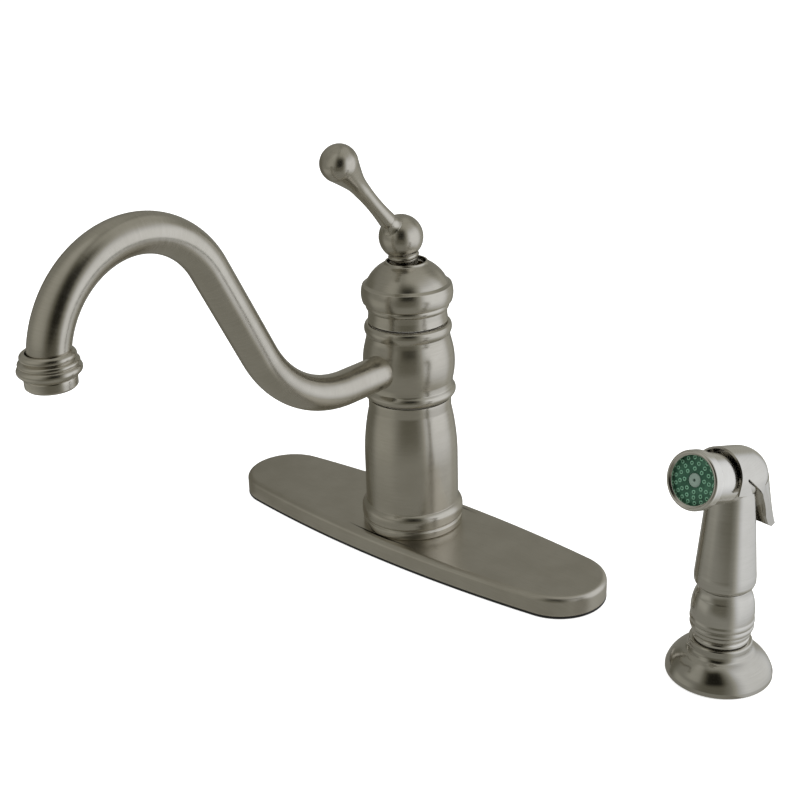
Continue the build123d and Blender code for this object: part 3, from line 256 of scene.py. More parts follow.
for name, place, power, size in (
    ("key_box", (1.5, 0.25, 1.0), 16.0, 1.1),
    ("fill_box", (-1.3, -1.0, 1.3), 8.0, 1.4),
    ("top_box", (0.0, 0.3, 2.2), 22.0, 2.0),
):
    lamp_data = bpy.data.lights.new(name, "AREA")
    lamp_data.energy = power
    lamp_data.size = size
    lamp = bpy.data.objects.new(name, lamp_data)
    lamp.location = place
    lamp.rotation_euler = (Vector((0.05, -0.05, 0.1)) - Vector(place)).to_track_quat("-Z", "Y").to_euler()
    lamp.visible_glossy = False
    bpy.context.scene.collection.objects.link(lamp)

# =====================================================================
# Deck plate gasket: a black rubber sheet cut to the plate's boat-shaped outline.
# It lies on the sink deck, and the plate presses it down all round.
# =====================================================================


def plate_line(steps):
    """Boat-shaped outline in millimetres: arc centres, radii and outward directions.

    Four arcs run tangent into each other, so an inset line is centre + (radius - inset) * direction."""
    half_length, half_width, end_radius = 130.0, 33.5, 26.7
    end_centre, rise = half_length - end_radius, half_width - end_radius
    side_radius = (end_centre**2 + rise**2) / (2 * rise) + end_radius
    drop = side_radius - half_width
    slope = np.arctan2(drop, end_centre)
    ends = np.linspace(-slope, slope, steps)
    sides = np.linspace(slope, pi - slope, steps)
    angle = np.concatenate([ends[:-1], sides[:-1], ends[:-1] + pi, sides[:-1] + pi])
    group = np.repeat(np.arange(4), steps - 1)
    centre = np.array([(end_centre, 0), (0, -drop), (-end_centre, 0), (0, drop)])[group]
    radius = np.array([end_radius, side_radius, end_radius, side_radius])[group]
    return centre, radius, np.stack([np.cos(angle), np.sin(angle)], -1)


def surface(name, points, normals, grain, wear_and_pit_shade, ring):
    """Smooth closed mesh over a grid of points in metres, with its exact normals.

    The second direction always wraps round. The first wraps when ring is true; otherwise its
    first and last rows are closed by a fan to their middle. grain places the brushing, and
    wear_and_pit_shade the worn edges, and on the jet disc the pits and rim where shade is painted."""
    rows, columns = points.shape[:2]
    first = np.arange(rows if ring else rows - 1)[:, None]
    second = np.arange(columns)[None, :]
    below, above = first * columns, ((first + 1) % rows) * columns
    after = (second + 1) % columns
    quads = np.stack([below + second, below + after, above + after, above + second], -1).reshape(-1, 4)
    place, facing = points.reshape(-1, 3), normals.reshape(-1, 3)
    grain, wear_and_pit_shade = grain.reshape(-1, 3), wear_and_pit_shade.reshape(-1)
    corner = place[quads]
    flat_normal = np.cross(corner[:, 2] - corner[:, 0], corner[:, 3] - corner[:, 1])
    inside_out = (flat_normal * facing[quads[:, 0]]).sum() < 0
    faces = (quads[:, ::-1] if inside_out else quads).tolist()
    if not ring:
        tips = np.stack([points[0].mean(0), points[-1].mean(0)])
        tip_normals = np.stack([normals[0].mean(0), normals[-1].mean(0)])
        tip_normals /= np.linalg.norm(tip_normals, axis=1)[:, None]
        count = len(place)
        place, facing = np.vstack([place, tips]), np.vstack([facing, tip_normals])
        grain = np.vstack([grain, grain[:1], grain[-1:]])
        wear_and_pit_shade = np.concatenate([wear_and_pit_shade, [0, 0]])
        start, stop = second[0], after[0]
        last = (rows - 1) * columns
        low = np.stack([stop, start, np.full(columns, count)], -1)
        high = np.stack([last + start, last + stop, np.full(columns, count + 1)], -1)
        fans = np.vstack([low, high])
        faces += (fans[:, ::-1] if inside_out else fans).tolist()
    mesh = bpy.data.meshes.new(name)
    mesh.from_pydata(place.tolist(), [], faces)
    grain_data = mesh.attributes.new("grain", "FLOAT_VECTOR", "POINT").data
    grain_data.foreach_set("vector", grain.astype(np.float32).ravel())
    wear_data = mesh.attributes.new("wear_and_pit_shade", "FLOAT", "POINT").data
    wear_data.foreach_set("value", wear_and_pit_shade.astype(np.float32))
    mesh.shade_smooth()
    mesh.normals_split_custom_set_from_vertices(facing.tolist())
    piece = bpy.data.objects.new(name, mesh)
    bpy.context.scene.collection.objects.link(piece)
    return piece


def outline(start, *steps, closed, round_over):
    """Outline of a turned or moulded section: points in millimetres, normals, sharpness and length.

    A step is an end point, or a middle and an end point of an arc. The line is sampled finely, its
    corners are rounded by a Gaussian average, and points are kept closer together where it bends."""
    sample, spacing = 0.04, 0.05
    row_length, row_bend = 3.0, radians(7)
    pieces, here = [], complex(*start)
    for step in steps:
        stop = complex(*step[-2:])
        if len(step) == 2:
            count = max(int(abs(stop - here) / sample), 2)
            pieces.append(here + (stop - here) * np.linspace(0, 1, count, endpoint=False))
        else:
            middle = complex(*step[:2])
            ratio = (stop - here) / (middle - here)
            centre = here + (middle - here) * (ratio - abs(ratio) ** 2) / (2j * ratio.imag)
            via = np.angle((middle - centre) / (here - centre)) % (2 * pi)
            sweep = np.angle((stop - centre) / (here - centre)) % (2 * pi)
            sweep -= 2 * pi if via > sweep else 0
            count = max(int(abs(here - centre) * abs(sweep) / sample), 3)
            turn = np.linspace(0, sweep, count, endpoint=False)
            pieces.append(centre + (here - centre) * np.exp(1j * turn))
        here = stop
    line = np.concatenate(pieces + ([] if closed else [[here]]))
    source = np.append(line, line[0]) if closed else line
    walk = np.concatenate([[0], np.cumsum(np.abs(np.diff(source)))])
    even = np.linspace(0, walk[-1], max(int(walk[-1] / spacing), 8), endpoint=not closed)
    line = np.interp(even, walk, source.real) + 1j * np.interp(even, walk, source.imag)
    reach = int(4 * round_over / spacing) + 1
    weight = np.exp(-0.5 * (np.arange(-reach, reach + 1) * spacing / round_over) ** 2)
    weight /= weight.sum()
    if closed:
        padded = np.concatenate([line[-reach:], line, line[:reach]])
    else:
        padded = np.concatenate([-np.conj(line[reach:0:-1]), line, -np.conj(line[-2:-reach - 2:-1])])
    line = np.convolve(padded, weight, "valid")
    if closed:
        tangent = np.roll(line, -1) - np.roll(line, 1)
    else:
        tangent = np.gradient(line)
    tangent /= np.abs(tangent)
    area = (line.real * np.roll(line, -1).imag - line.imag * np.roll(line, -1).real).sum()
    bend = np.angle(np.roll(tangent, -1) / tangent) * np.sign(area)
    step_length = np.abs(np.roll(line, -1) - line)
    if not closed:
        bend[-1] = step_length[-1] = 0.0
    effort = np.concatenate([[0], np.cumsum(step_length / row_length + np.abs(bend) / row_bend)])
    count = max(int(effort[-1]) + 1, 6)
    pick = np.linspace(0, effort[-1], count, endpoint=not closed)
    known = effort if closed else effort[:-1]
    stations = np.interp(pick, known, np.arange(len(known)))
    index = stations % len(line)
    whole = np.floor(index).astype(int)
    part = index - whole
    nxt = (whole + 1) % len(line) if closed else np.minimum(whole + 1, len(line) - 1)
    spot = line[whole] * (1 - part) + line[nxt] * part
    aim = tangent[whole] * (1 - part) + tangent[nxt] * part
    normal = -1j * aim / np.abs(aim) * np.sign(area)
    sharpness = bend / (step_length.clip(1e-6) if closed else spacing)
    crest = np.convolve(np.clip(sharpness, 0, 3.0), np.ones(7) / 7, "same")
    length = np.concatenate([[0], np.cumsum(step_length)])[:-1]
    return spot, normal, crest[whole].clip(0, 3) / 3, length[whole]


def place_piece(piece, body, slot, look, *nodes):
    """Puts a finished piece on its body in place of its CAD nodes, with its material."""
    piece.data.materials.append(look)
    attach(piece, body)
    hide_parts(*nodes)


def new_look(name, colour, metallic=0.0, roughness=0.5):
    """Material with a Principled shader. Returns the material, its node tree and the shader."""
    look = bpy.data.materials.new(name)
    look.use_nodes = True
    shader = look.node_tree.nodes["Principled BSDF"]
    shader.inputs["Base Color"].default_value = (*colour, 1.0)
    shader.inputs["Metallic"].default_value = metallic
    shader.inputs["Roughness"].default_value = roughness
    return look, look.node_tree, shader


def add_noise(tree, vector, scale, detail, roughness=0.55):
    """Adds a Noise texture on a vector socket; its scale is a number or a socket. Returns its value."""
    node = tree.nodes.new("ShaderNodeTexNoise")
    if isinstance(scale, float):
        node.inputs["Scale"].default_value = scale
    else:
        tree.links.new(scale, node.inputs["Scale"])
    node.inputs["Detail"].default_value = detail
    node.inputs["Roughness"].default_value = roughness
    tree.links.new(vector, node.inputs["Vector"])
    return node.outputs[0]


def add_bump(tree, height, strength, distance):
    """Adds a Bump node. Returns its normal socket."""
    node = tree.nodes.new("ShaderNodeBump")
    node.inputs["Strength"].default_value = strength
    node.inputs["Distance"].default_value = distance
    tree.links.new(height, node.inputs["Height"])
    return node.outputs["Normal"]


# Moulded surface, shared by the rubber and plastic looks: a soft cloud of tone, and fine pits with their
# bump. Pits is how many there are to the metre.
moulded = bpy.data.node_groups.new("moulded_surface", "ShaderNodeTree")
moulded.interface.new_socket("Pits", in_out="INPUT", socket_type="NodeSocketFloat")
moulded.interface.new_socket("Cloud", in_out="OUTPUT", socket_type="NodeSocketFloat")
moulded.interface.new_socket("Normal", in_out="OUTPUT", socket_type="NodeSocketVector")
position = moulded.nodes.new("ShaderNodeTexCoord").outputs["Object"]
group_in = moulded.nodes.new("NodeGroupInput")
group_out = moulded.nodes.new("NodeGroupOutput")
moulded.links.new(add_noise(moulded, position, 90.0, 4.0), group_out.inputs["Cloud"])
pits = add_noise(moulded, position, group_in.outputs["Pits"], 3.0)
moulded.links.new(add_bump(moulded, pits, 0.25, 0.00006), group_out.inputs["Normal"])


def add_group(tree, group, **values):
    """Adds a node group to a material's tree; each input is a number or a socket. Returns its outputs."""
    node = tree.nodes.new("ShaderNodeGroup")
    node.node_tree = group
    for label, value in values.items():
        if isinstance(value, (int, float)):
            node.inputs[label].default_value = value
        else:
            tree.links.new(value, node.inputs[label])
    return node.outputs


pits_to_the_metre = 2200.0
rubber_look, tree, shader = new_look("black_rubber_look", (0.012, 0.012, 0.013), roughness=0.55)
effect = add_group(tree, moulded, Pits=pits_to_the_metre)
black = mix_colours(tree, effect["Cloud"], (0.006, 0.006, 0.007), (0.02, 0.02, 0.021))
tree.links.new(black, shader.inputs["Base Color"])
tree.links.new(smooth_step(tree, effect["Cloud"], 0.3, 0.7, 0.45, 0.65), shader.inputs["Roughness"])
tree.links.new(effect["Normal"], shader.inputs["Normal"])


def boat_shell(name, section, hole, round_over, steps=90):
    """Shell over the boat-shaped outline, in metres.

    A section point (depth, height) is the outline moved in by the depth. From a depth of 6 to 30 mm it
    runs instead towards the circle of the hole, at the same bearing. The section closes on itself."""
    spot, normal, crest, length = outline(*section, closed=True, round_over=round_over)
    centre, radius, direction = plate_line(steps)
    edge = centre + radius[:, None] * direction
    bearing = np.arctan2(edge[:, 1], edge[:, 0])
    round_way = np.stack([np.cos(bearing), np.sin(bearing)], -1)
    depth = -spot.real
    turn_in, full_round = 6.0, 30.0
    inner = (depth > turn_in)[:, None, None]
    near = edge - depth[:, None, None] * direction
    reach = np.clip((depth - turn_in) / (full_round - turn_in), 0, 1)[:, None, None]
    lip = edge - turn_in * direction
    far = lip * (1 - reach) + (hole - (depth[:, None, None] - full_round)) * round_way * reach
    plan = np.where(inner, far, near)
    points = np.concatenate([plan, np.broadcast_to(spot.imag[:, None, None], plan.shape[:2] + (1,))], -1)
    way = np.where(inner, round_way, direction)
    normals = np.concatenate([
        normal.real[:, None, None] * way,
        np.broadcast_to(normal.imag[:, None, None], plan.shape[:2] + (1,)),
    ], -1)
    grain = np.stack([points[..., 0], points[..., 2], points[..., 1] + points[..., 2]], -1)
    wear_and_pit_shade = np.broadcast_to(crest[:, None], points.shape[:2])
    return surface(name, points / 1000, normals, grain / 1000, wear_and_pit_shade, True)


gasket = boat_shell(
    "deck_gasket_rubber",
    (
        (-0.2, 0.02), (0.0, 0.3), (0.05, 0.75, 0.0, 1.2), (-0.2, 1.46), (-30.0, 1.46), (-30.0, 0.02),
        (-0.2, 0.02),
    ),
    hole=17.6, round_over=0.06,
)
place_piece(gasket, "base", "black_rubber", rubber_look, "deck_gasket")

# =====================================================================
# Deck plate: a pressed brass shell with a rolled edge, brushed and plated in satin nickel.
# It is open underneath, and the body that stands on it clamps it to the deck.
# =====================================================================

# Brushed metal, shared by every plated, brass and steel look: fine lines that run round the piece, a slow
# cloud and small specks. Place is where the pattern is read, and Fineness how many lines there are.
brushed = bpy.data.node_groups.new("brushed_metal", "ShaderNodeTree")
brushed.interface.new_socket("Place", in_out="INPUT", socket_type="NodeSocketVector")
brushed.interface.new_socket("Fineness", in_out="INPUT", socket_type="NodeSocketFloat")
for label in ("Lines", "Cloud", "Wear"):
    brushed.interface.new_socket(label, in_out="OUTPUT", socket_type="NodeSocketFloat")
brushed.interface.new_socket("Normal", in_out="OUTPUT", socket_type="NodeSocketVector")
group_in = brushed.nodes.new("NodeGroupInput")
group_out = brushed.nodes.new("NodeGroupOutput")
wear_read = brushed.nodes.new("ShaderNodeAttribute")
wear_read.attribute_name = "wear_and_pit_shade"
stretch = vector_node(brushed, "MULTIPLY", group_in.outputs["Place"], (70.0, 70.0, 2600.0)).outputs[0]
lines = add_noise(brushed, stretch, group_in.outputs["Fineness"], 3.0, 0.7)
specks = add_noise(brushed, group_in.outputs["Place"], 1500.0, 2.0)
brushed.links.new(lines, group_out.inputs["Lines"])
brushed.links.new(add_noise(brushed, group_in.outputs["Place"], 55.0, 3.0), group_out.inputs["Cloud"])
brushed.links.new(smooth_step(brushed, wear_read.outputs["Fac"], 0.05, 0.6), group_out.inputs["Wear"])
relief = math_node(brushed, "MULTIPLY_ADD", specks, 0.4, lines)
brushed.links.new(add_bump(brushed, relief, 0.16, 0.00003), group_out.inputs["Normal"])


def metal_look(name, light, dark, smooth, rough, by_grain, fineness=1.0):
    """Metal look: brushed lines move the colour and gloss, and worn edges are brighter and smoother.

    The pattern reads the piece's grain attribute, or the object's own coordinates."""
    look, tree, shader = new_look(name, light, metallic=1.0)
    if by_grain:
        source = tree.nodes.new("ShaderNodeAttribute")
        source.attribute_name = "grain"
        place = source.outputs["Vector"]
    else:
        place = tree.nodes.new("ShaderNodeTexCoord").outputs["Object"]
    effect = add_group(tree, brushed, Place=place, Fineness=fineness)
    tone = math_node(tree, "MULTIPLY", effect["Lines"], 0.5)
    tone = math_node(tree, "MULTIPLY_ADD", effect["Cloud"], 0.6, tone)
    colour = mix_colours(tree, smooth_step(tree, tone, 0.35, 0.75), dark, light)
    polished = tuple(min(value * 1.12, 1.0) for value in light)
    colour = mix_colours(tree, math_node(tree, "MULTIPLY", effect["Wear"], 0.6), colour, polished)
    tree.links.new(colour, shader.inputs["Base Color"])
    gloss = smooth_step(tree, effect["Lines"], 0.25, 0.75, smooth, rough)
    gloss = math_node(tree, "MULTIPLY_ADD", effect["Wear"], -0.06, gloss)
    tree.links.new(gloss, shader.inputs["Roughness"])
    tree.links.new(effect["Normal"], shader.inputs["Normal"])
    return look


nickel_finish = ((0.66, 0.63, 0.565), (0.58, 0.55, 0.485), 0.19, 0.27)
nickel_look = metal_look("brushed_nickel_look", *nickel_finish, by_grain=True)

plate = boat_shell(
    "deck_plate_shell",
    (
        (0.0, 1.55), (0.0, 9.4), (-0.88, 11.52, -3.0, 12.4), (-30.0, 12.4), (-30.0, 1.55), (-20.5, 1.55),
        (-20.5, 10.2), (-2.2, 10.2), (-2.2, 1.55), (0.0, 1.55),
    ),
    hole=17.2, round_over=0.10, steps=120,
)
plate_look = metal_look("brushed_plate_look", *nickel_finish[:2], 0.28, 0.36, by_grain=True)
place_piece(plate, "base", "brushed_nickel", plate_look, "deck_plate")

# =====================================================================
# Column: a turned brass tube with a foot ring and a drawn-in neck, plated in satin nickel.
# It stands on the deck plate round the valve body, and stays still as the spout above it turns.
# =====================================================================


def turned(name, path, closed, foot, axis, around, round_over=0.16):
    """Surface of revolution in metres: foot + axis * height + radius * (cos, sin of the angle round)."""
    spot, normal, crest, length = outline(*path, closed=closed, round_over=round_over)
    if not closed:
        spot, normal, crest, length = spot[1:-1], normal[1:-1], crest[1:-1], length[1:-1]
    axis = np.array(axis, float) / np.linalg.norm(axis)
    first = np.cross(axis, (1.0, 0.0, 0.0))
    first = -first / np.linalg.norm(first)
    second = np.cross(axis, first)
    angle = np.linspace(0, 2 * pi, around, endpoint=False)
    spoke = np.cos(angle)[:, None] * first + np.sin(angle)[:, None] * second
    points = np.array(foot) + spot.imag[:, None, None] * axis + spot.real[:, None, None] * spoke
    normals = normal.imag[:, None, None] * axis + normal.real[:, None, None] * spoke
    grain = np.stack(np.broadcast_arrays(np.cos(angle) * 20, np.sin(angle) * 20, length[:, None]), -1)
    wear_and_pit_shade = np.broadcast_to(crest[:, None], points.shape[:2])
    return surface(name, points / 1000, normals, grain / 1000, wear_and_pit_shade, closed)


body_foot, upright = (0, 0, 0), (0, 0, 1)
column = turned(
    "column_turned",
    (
        (22.8, 12.4), (28.1, 12.4), (28.7, 13.1), (28.7, 16.5), (27.9, 17.3), (27.9, 18.1),
        (28.9, 18.7, 29.2, 20.0), (29.2, 22.8), (28.5, 25.4, 26.7, 27.2), (26.7, 56.0),
        (25.7, 71.0, 23.4, 84.5), (23.4, 90.8), (19.6, 90.8), (19.6, 80.0), (22.8, 76.0), (22.8, 12.4),
    ),
    closed=True, foot=body_foot, axis=upright, around=200,
)
place_piece(column, "base", "brushed_nickel", nickel_look, "column")

# =====================================================================
# Spout hub: a cast brass ring with a bead at each end, plated in satin nickel.
# It turns on slip rings round the valve body, and the spout tube is brazed into its side.
# =====================================================================

hub = turned(
    "spout_hub_turned",
    (
        (19.06, 92.0), (23.9, 92.0), (24.9, 92.5), (26.1, 95.2, 25.0, 97.6), (24.5, 98.2), (24.6, 101.5),
        (25.8, 112.0, 24.4, 122.6), (23.5, 126.2), (23.3, 128.6), (24.4, 131.6, 23.9, 134.2),
        (22.9, 135.0), (19.06, 135.0), (19.06, 92.0),
    ),
    closed=True, foot=body_foot, axis=upright, around=200,
)
place_piece(hub, "spout", "brushed_nickel", nickel_look, "spout_hub")

# =====================================================================
# Retaining sleeve and domed cap: two turned brass rings, plated in satin nickel.
# The sleeve keeps the hub down, and the cap screws on over the cartridge.
# =====================================================================

sleeve = turned(
    "sleeve_turned",
    (
        (18.55, 136.1), (22.3, 136.1), (21.9, 139.5), (22.0, 142.8), (23.1, 144.4, 22.6, 146.4),
        (18.55, 146.4), (18.55, 136.1),
    ),
    closed=True, foot=body_foot, axis=upright, around=200, round_over=0.12,
)
place_piece(sleeve, "base", "brushed_nickel", nickel_look, "retaining_sleeve")
dome = turned(
    "dome_turned",
    (
        (18.6, 146.6), (23.9, 146.6), (24.7, 147.2), (25.45, 151.6, 24.6, 156.6), (22.6, 157.6),
        (22.2, 158.4), (18.3, 163.9, 13.0, 167.9), (12.0, 168.7, 11.6, 169.6), (10.7, 169.6),
        (10.7, 166.6), (15.4, 163.3, 18.6, 158.0), (18.6, 146.6),
    ),
    closed=True, foot=body_foot, axis=upright, around=200,
)
place_piece(dome, "base", "brushed_nickel", nickel_look, "dome_cap")

# =====================================================================
# Spout tube: a brass tube of 3/4 inch, bent twice into a swan neck and plated in satin nickel.
# Its lower end is brazed into the hub, and its upper end carries the tip collar.
# =====================================================================


def tube_line(steps):
    """Centreline of the spout in its own plane: level, a rising bend, a straight, then the arch.

    Each run is start + length * direction, and each bend is centre + radius * (sin, cos) of the turn.
    A row holds the reach, the height and the slope."""
    rise, start, low = radians(62.0), 50.5, 111.7
    bend_radius, arch_radius, tip = 68.0, 48.5, 229.4
    reach, lift = start + bend_radius * sin(rise), low + bend_radius * (1 - cos(rise))
    arch_middle = tip - arch_radius
    arch_start = arch_middle - arch_radius * sin(rise)
    arch_lift = lift + (arch_start - reach) * sin(rise) / cos(rise)
    arch_height = arch_lift - arch_radius * cos(rise)
    level_run = np.linspace(21.0, start, steps // 4, endpoint=False)
    bend = np.linspace(0, rise, steps, endpoint=False)
    part = np.linspace(0, 1, steps // 4, endpoint=False)
    over = np.linspace(rise, -pi / 2, steps * 2)
    return np.concatenate([
        np.stack([level_run, np.full_like(level_run, low), level_run * 0], -1),
        np.stack([start + bend_radius * np.sin(bend), low + bend_radius * (1 - np.cos(bend)), bend], -1),
        np.stack([
            reach + (arch_start - reach) * part, lift + (arch_lift - lift) * part, part * 0 + rise,
        ], -1),
        np.stack([
            arch_middle - arch_radius * np.sin(over), arch_height + arch_radius * np.cos(over), over,
        ], -1),
    ])


def bent_tube(name, line, outer, bore, around=96):
    """Tube in metres: each ring is centre + radius * (cos, sin) in the plane square to the line.

    Rows run along the outside, over the end, back through the bore and over the start."""
    count = len(line)
    row = np.arange(count)
    side_step = np.linspace(0, 1, 5)[1:-1]
    radius = np.concatenate([
        np.full(count, outer), outer + (bore - outer) * side_step,
        np.full(count, bore), bore + (outer - bore) * side_step,
    ])
    order = np.concatenate([row, np.full(3, count - 1), row[::-1], np.zeros(3, int)])
    facing = np.concatenate([np.ones(count), np.zeros(3), -np.ones(count), np.zeros(3)])
    end = np.concatenate([np.zeros(count), np.ones(3), np.zeros(count), -np.ones(3)])
    y, z, turn = line[order].T
    along = np.stack([turn * 0, -np.cos(turn), np.sin(turn)], -1)
    over = np.stack([turn * 0, np.sin(turn), np.cos(turn)], -1)
    angle = np.linspace(0, 2 * pi, around, endpoint=False)
    spoke = np.sin(angle)[None, :, None] * np.array([1.0, 0, 0])
    spoke = spoke + np.cos(angle)[None, :, None] * over[:, None, :]
    centre = np.stack([y * 0, -y, z], -1)
    points = centre[:, None, :] + radius[:, None, None] * spoke
    normals = spoke * facing[:, None, None] + along[:, None, :] * end[:, None, None]
    walk = np.concatenate([[0], np.cumsum(np.linalg.norm(np.diff(centre, axis=0), axis=1))])
    grain = np.stack(np.broadcast_arrays(np.cos(angle) * 9, np.sin(angle) * 9, walk[:, None]), -1)
    return surface(name, points / 1000, normals, grain / 1000, np.zeros(points.shape[:2]), True)


spout = bent_tube("spout_tube_bent", tube_line(44), outer=9.525, bore=7.9)
place_piece(spout, "spout", "brushed_nickel", nickel_look, "spout_tube")

# =====================================================================
# Tip collar and aerator: a beaded brass ring soldered on the end of the spout tube, and the
# aerator's housing that screws up into it. Both are turned and plated in satin nickel.
# =====================================================================

spout_tip = (0, -229.4, 0)
collar = turned(
    "tip_collar_turned",
    (
        (9.6, 172.2), (9.8, 172.2), (9.8, 175.2), (12.3, 175.2), (13.3, 176.2),
        (14.1, 177.9, 13.4, 179.5), (12.8, 179.9), (13.3, 181.0, 12.7, 182.0), (11.6, 182.5),
        (12.2, 184.2, 11.2, 185.6), (10.9, 185.9), (9.56, 185.9), (9.6, 172.2),
    ),
    closed=True, foot=spout_tip, axis=upright, around=160, round_over=0.12,
)
place_piece(collar, "spout", "brushed_nickel", nickel_look, "tip_collar")
aerator = turned(
    "aerator_housing_turned",
    (
        (8.4, 169.5), (10.4, 169.5), (11.4, 170.5), (11.5, 174.2), (11.1, 174.9), (9.85, 174.9),
        (9.85, 170.3), (8.4, 170.3), (8.4, 169.5),
    ),
    closed=True, foot=spout_tip, axis=upright, around=160, round_over=0.1,
)
place_piece(aerator, "spout", "brushed_nickel", nickel_look, "aerator_housing")

# =====================================================================
# Lever: a turned brass rod that swells to a knob, plated in satin nickel.
# Its threaded end screws into the ball that is cast in one with the handle's neck.
# =====================================================================

stem_lean, neck_length, lever_rise = radians(9.0), 24.0, radians(47.0)
ball_centre = np.array([0, -neck_length * sin(stem_lean), 160.0 + neck_length * cos(stem_lean)])
lever_dir = np.array([0, -cos(lever_rise), sin(lever_rise)])
lever = turned(
    "lever_turned",
    (
        (0, 4.0), (3.9, 4.4), (3.95, 10.35), (6.4, 10.35), (5.1, 12.4, 4.8, 16.0),
        (4.05, 29.0, 4.6, 43.0), (5.15, 48.2, 6.2, 52.5), (7.75, 57.6, 9.2, 62.0),
        (10.0, 66.4, 8.9, 70.4), (5.4, 73.9, 0, 74.9),
    ),
    closed=False, foot=ball_centre, axis=lever_dir, around=140, round_over=0.2,
)
place_piece(lever, "lever", "brushed_nickel", nickel_look, "lever_arm")

# =====================================================================
# Spray holder: a domed flange with a collar, moulded in plastic and plated in satin nickel.
# It sits on a thin rubber ring on the deck, and its shank is clamped from below.
# =====================================================================

spray_finish = ((0.72, 0.70, 0.655), (0.655, 0.635, 0.59), 0.13, 0.19)
spray_look = metal_look("plated_plastic_look", *spray_finish, by_grain=True)
spray_foot = np.array([206.9, -9.6, 0.0])
holder_ring = turned(
    "holder_gasket_rubber",
    ((14.7, 0.02), (24.4, 0.02), (24.7, 0.6, 24.4, 1.15), (14.7, 1.15), (14.7, 0.02)),
    closed=True, foot=spray_foot, axis=upright, around=120, round_over=0.06,
)
place_piece(holder_ring, "base", "black_rubber", rubber_look, "holder_gasket")
holder = turned(
    "spray_holder_turned",
    (
        (14.25, 1.2), (14.25, 9.3), (11.35, 9.3), (12.75, 19.4), (14.7, 19.4), (15.2, 18.9), (15.2, 17.0),
        (15.6, 14.7, 17.0, 13.4), (22.5, 9.0, 25.8, 2.8), (25.8, 0.7), (25.4, 0.3), (24.95, 0.3),
        (24.95, 1.2), (22.5, 1.2), (20.4, 6.4, 16.4, 10.4), (16.4, 1.2), (14.25, 1.2),
    ),
    closed=True, foot=spray_foot, axis=upright, around=180, round_over=0.12,
)
holder_look = metal_look("holder_look", (0.60, 0.58, 0.53), (0.54, 0.52, 0.47), 0.11, 0.17, by_grain=True)
place_piece(holder, "base", "plated_plastic", holder_look, "spray_holder")

# =====================================================================
# Grip collar and nozzle ring: plated plastic mouldings of the spray. The ribbed collar sits below
# the tapered handle and rests in the holder, and the ring is fixed on the front of the head.
# =====================================================================

grip = turned(
    "grip_collar_turned",
    (
        (8.2, 4.6), (10.3, 4.6), (12.35, 19.2), (12.35, 19.8), (13.2, 19.8), (13.6, 20.3), (13.6, 21.5),
        (12.9, 22.1), (14.2, 23.8, 14.3, 25.6), (15.3, 27.2, 14.9, 29.0), (15.5, 30.7, 15.1, 32.4),
        (15.2, 37.0, 13.9, 43.8), (13.1, 45.8, 12.7, 48.7), (10.5, 48.7), (10.5, 36.2), (8.2, 36.2),
        (8.2, 4.6),
    ),
    closed=True, foot=spray_foot, axis=upright, around=180, round_over=0.10,
)
place_piece(grip, "sprayer", "plated_plastic", spray_look, "grip_collar")

heading_angle, tilt = radians(-98.0), radians(15.0)
forward = np.array([cos(heading_angle), sin(heading_angle), 0])
sideways = np.array([sin(heading_angle), -cos(heading_angle), 0])
head_centre = spray_foot + (0, 0, 105.5)
head_dir = forward * cos(tilt) + np.array([0, 0, sin(tilt)])
nozzle = turned(
    "nozzle_ring_turned",
    (
        (9.35, 10.3), (11.7, 10.3), (12.1, 10.8), (12.1, 24.4), (12.5, 25.6, 13.4, 26.3), (13.9, 26.9),
        (13.9, 30.4), (13.6, 31.55, 12.9, 32.0), (12.4, 31.9), (11.4, 31.1), (11.3, 29.6), (12.1, 29.3),
        (12.1, 26.9), (10.3, 26.9), (10.3, 16.2), (9.35, 16.2), (9.35, 10.3),
    ),
    closed=True, foot=head_centre, axis=head_dir, around=160, round_over=0.12,
)
# painted light: the nozzle ring takes a brighter copy of the spray's plated finish
nozzle_painted_bright_look = metal_look("nozzle_painted_bright_look", (0.82, 0.80, 0.76), (0.76, 0.74, 0.70), 0.13, 0.19, by_grain=True)
place_piece(nozzle, "sprayer", "plated_plastic", nozzle_painted_bright_look, "nozzle_ring")

# =====================================================================
# Spray face: a green moulded disc with three rings of raised jets, set back in the nozzle ring.
# The ring's shelf holds its edge, and a pale button holds its middle.
# =====================================================================


def grid_normals(points):
    """Unit normals of a grid that wraps both ways: its row step crossed with its step round."""
    row_way = np.roll(points, -1, 0) - np.roll(points, 1, 0)
    round_way = np.roll(points, -1, 1) - np.roll(points, 1, 1)
    normals = np.cross(row_way, round_way)
    return normals / np.linalg.norm(normals, axis=-1)[..., None]


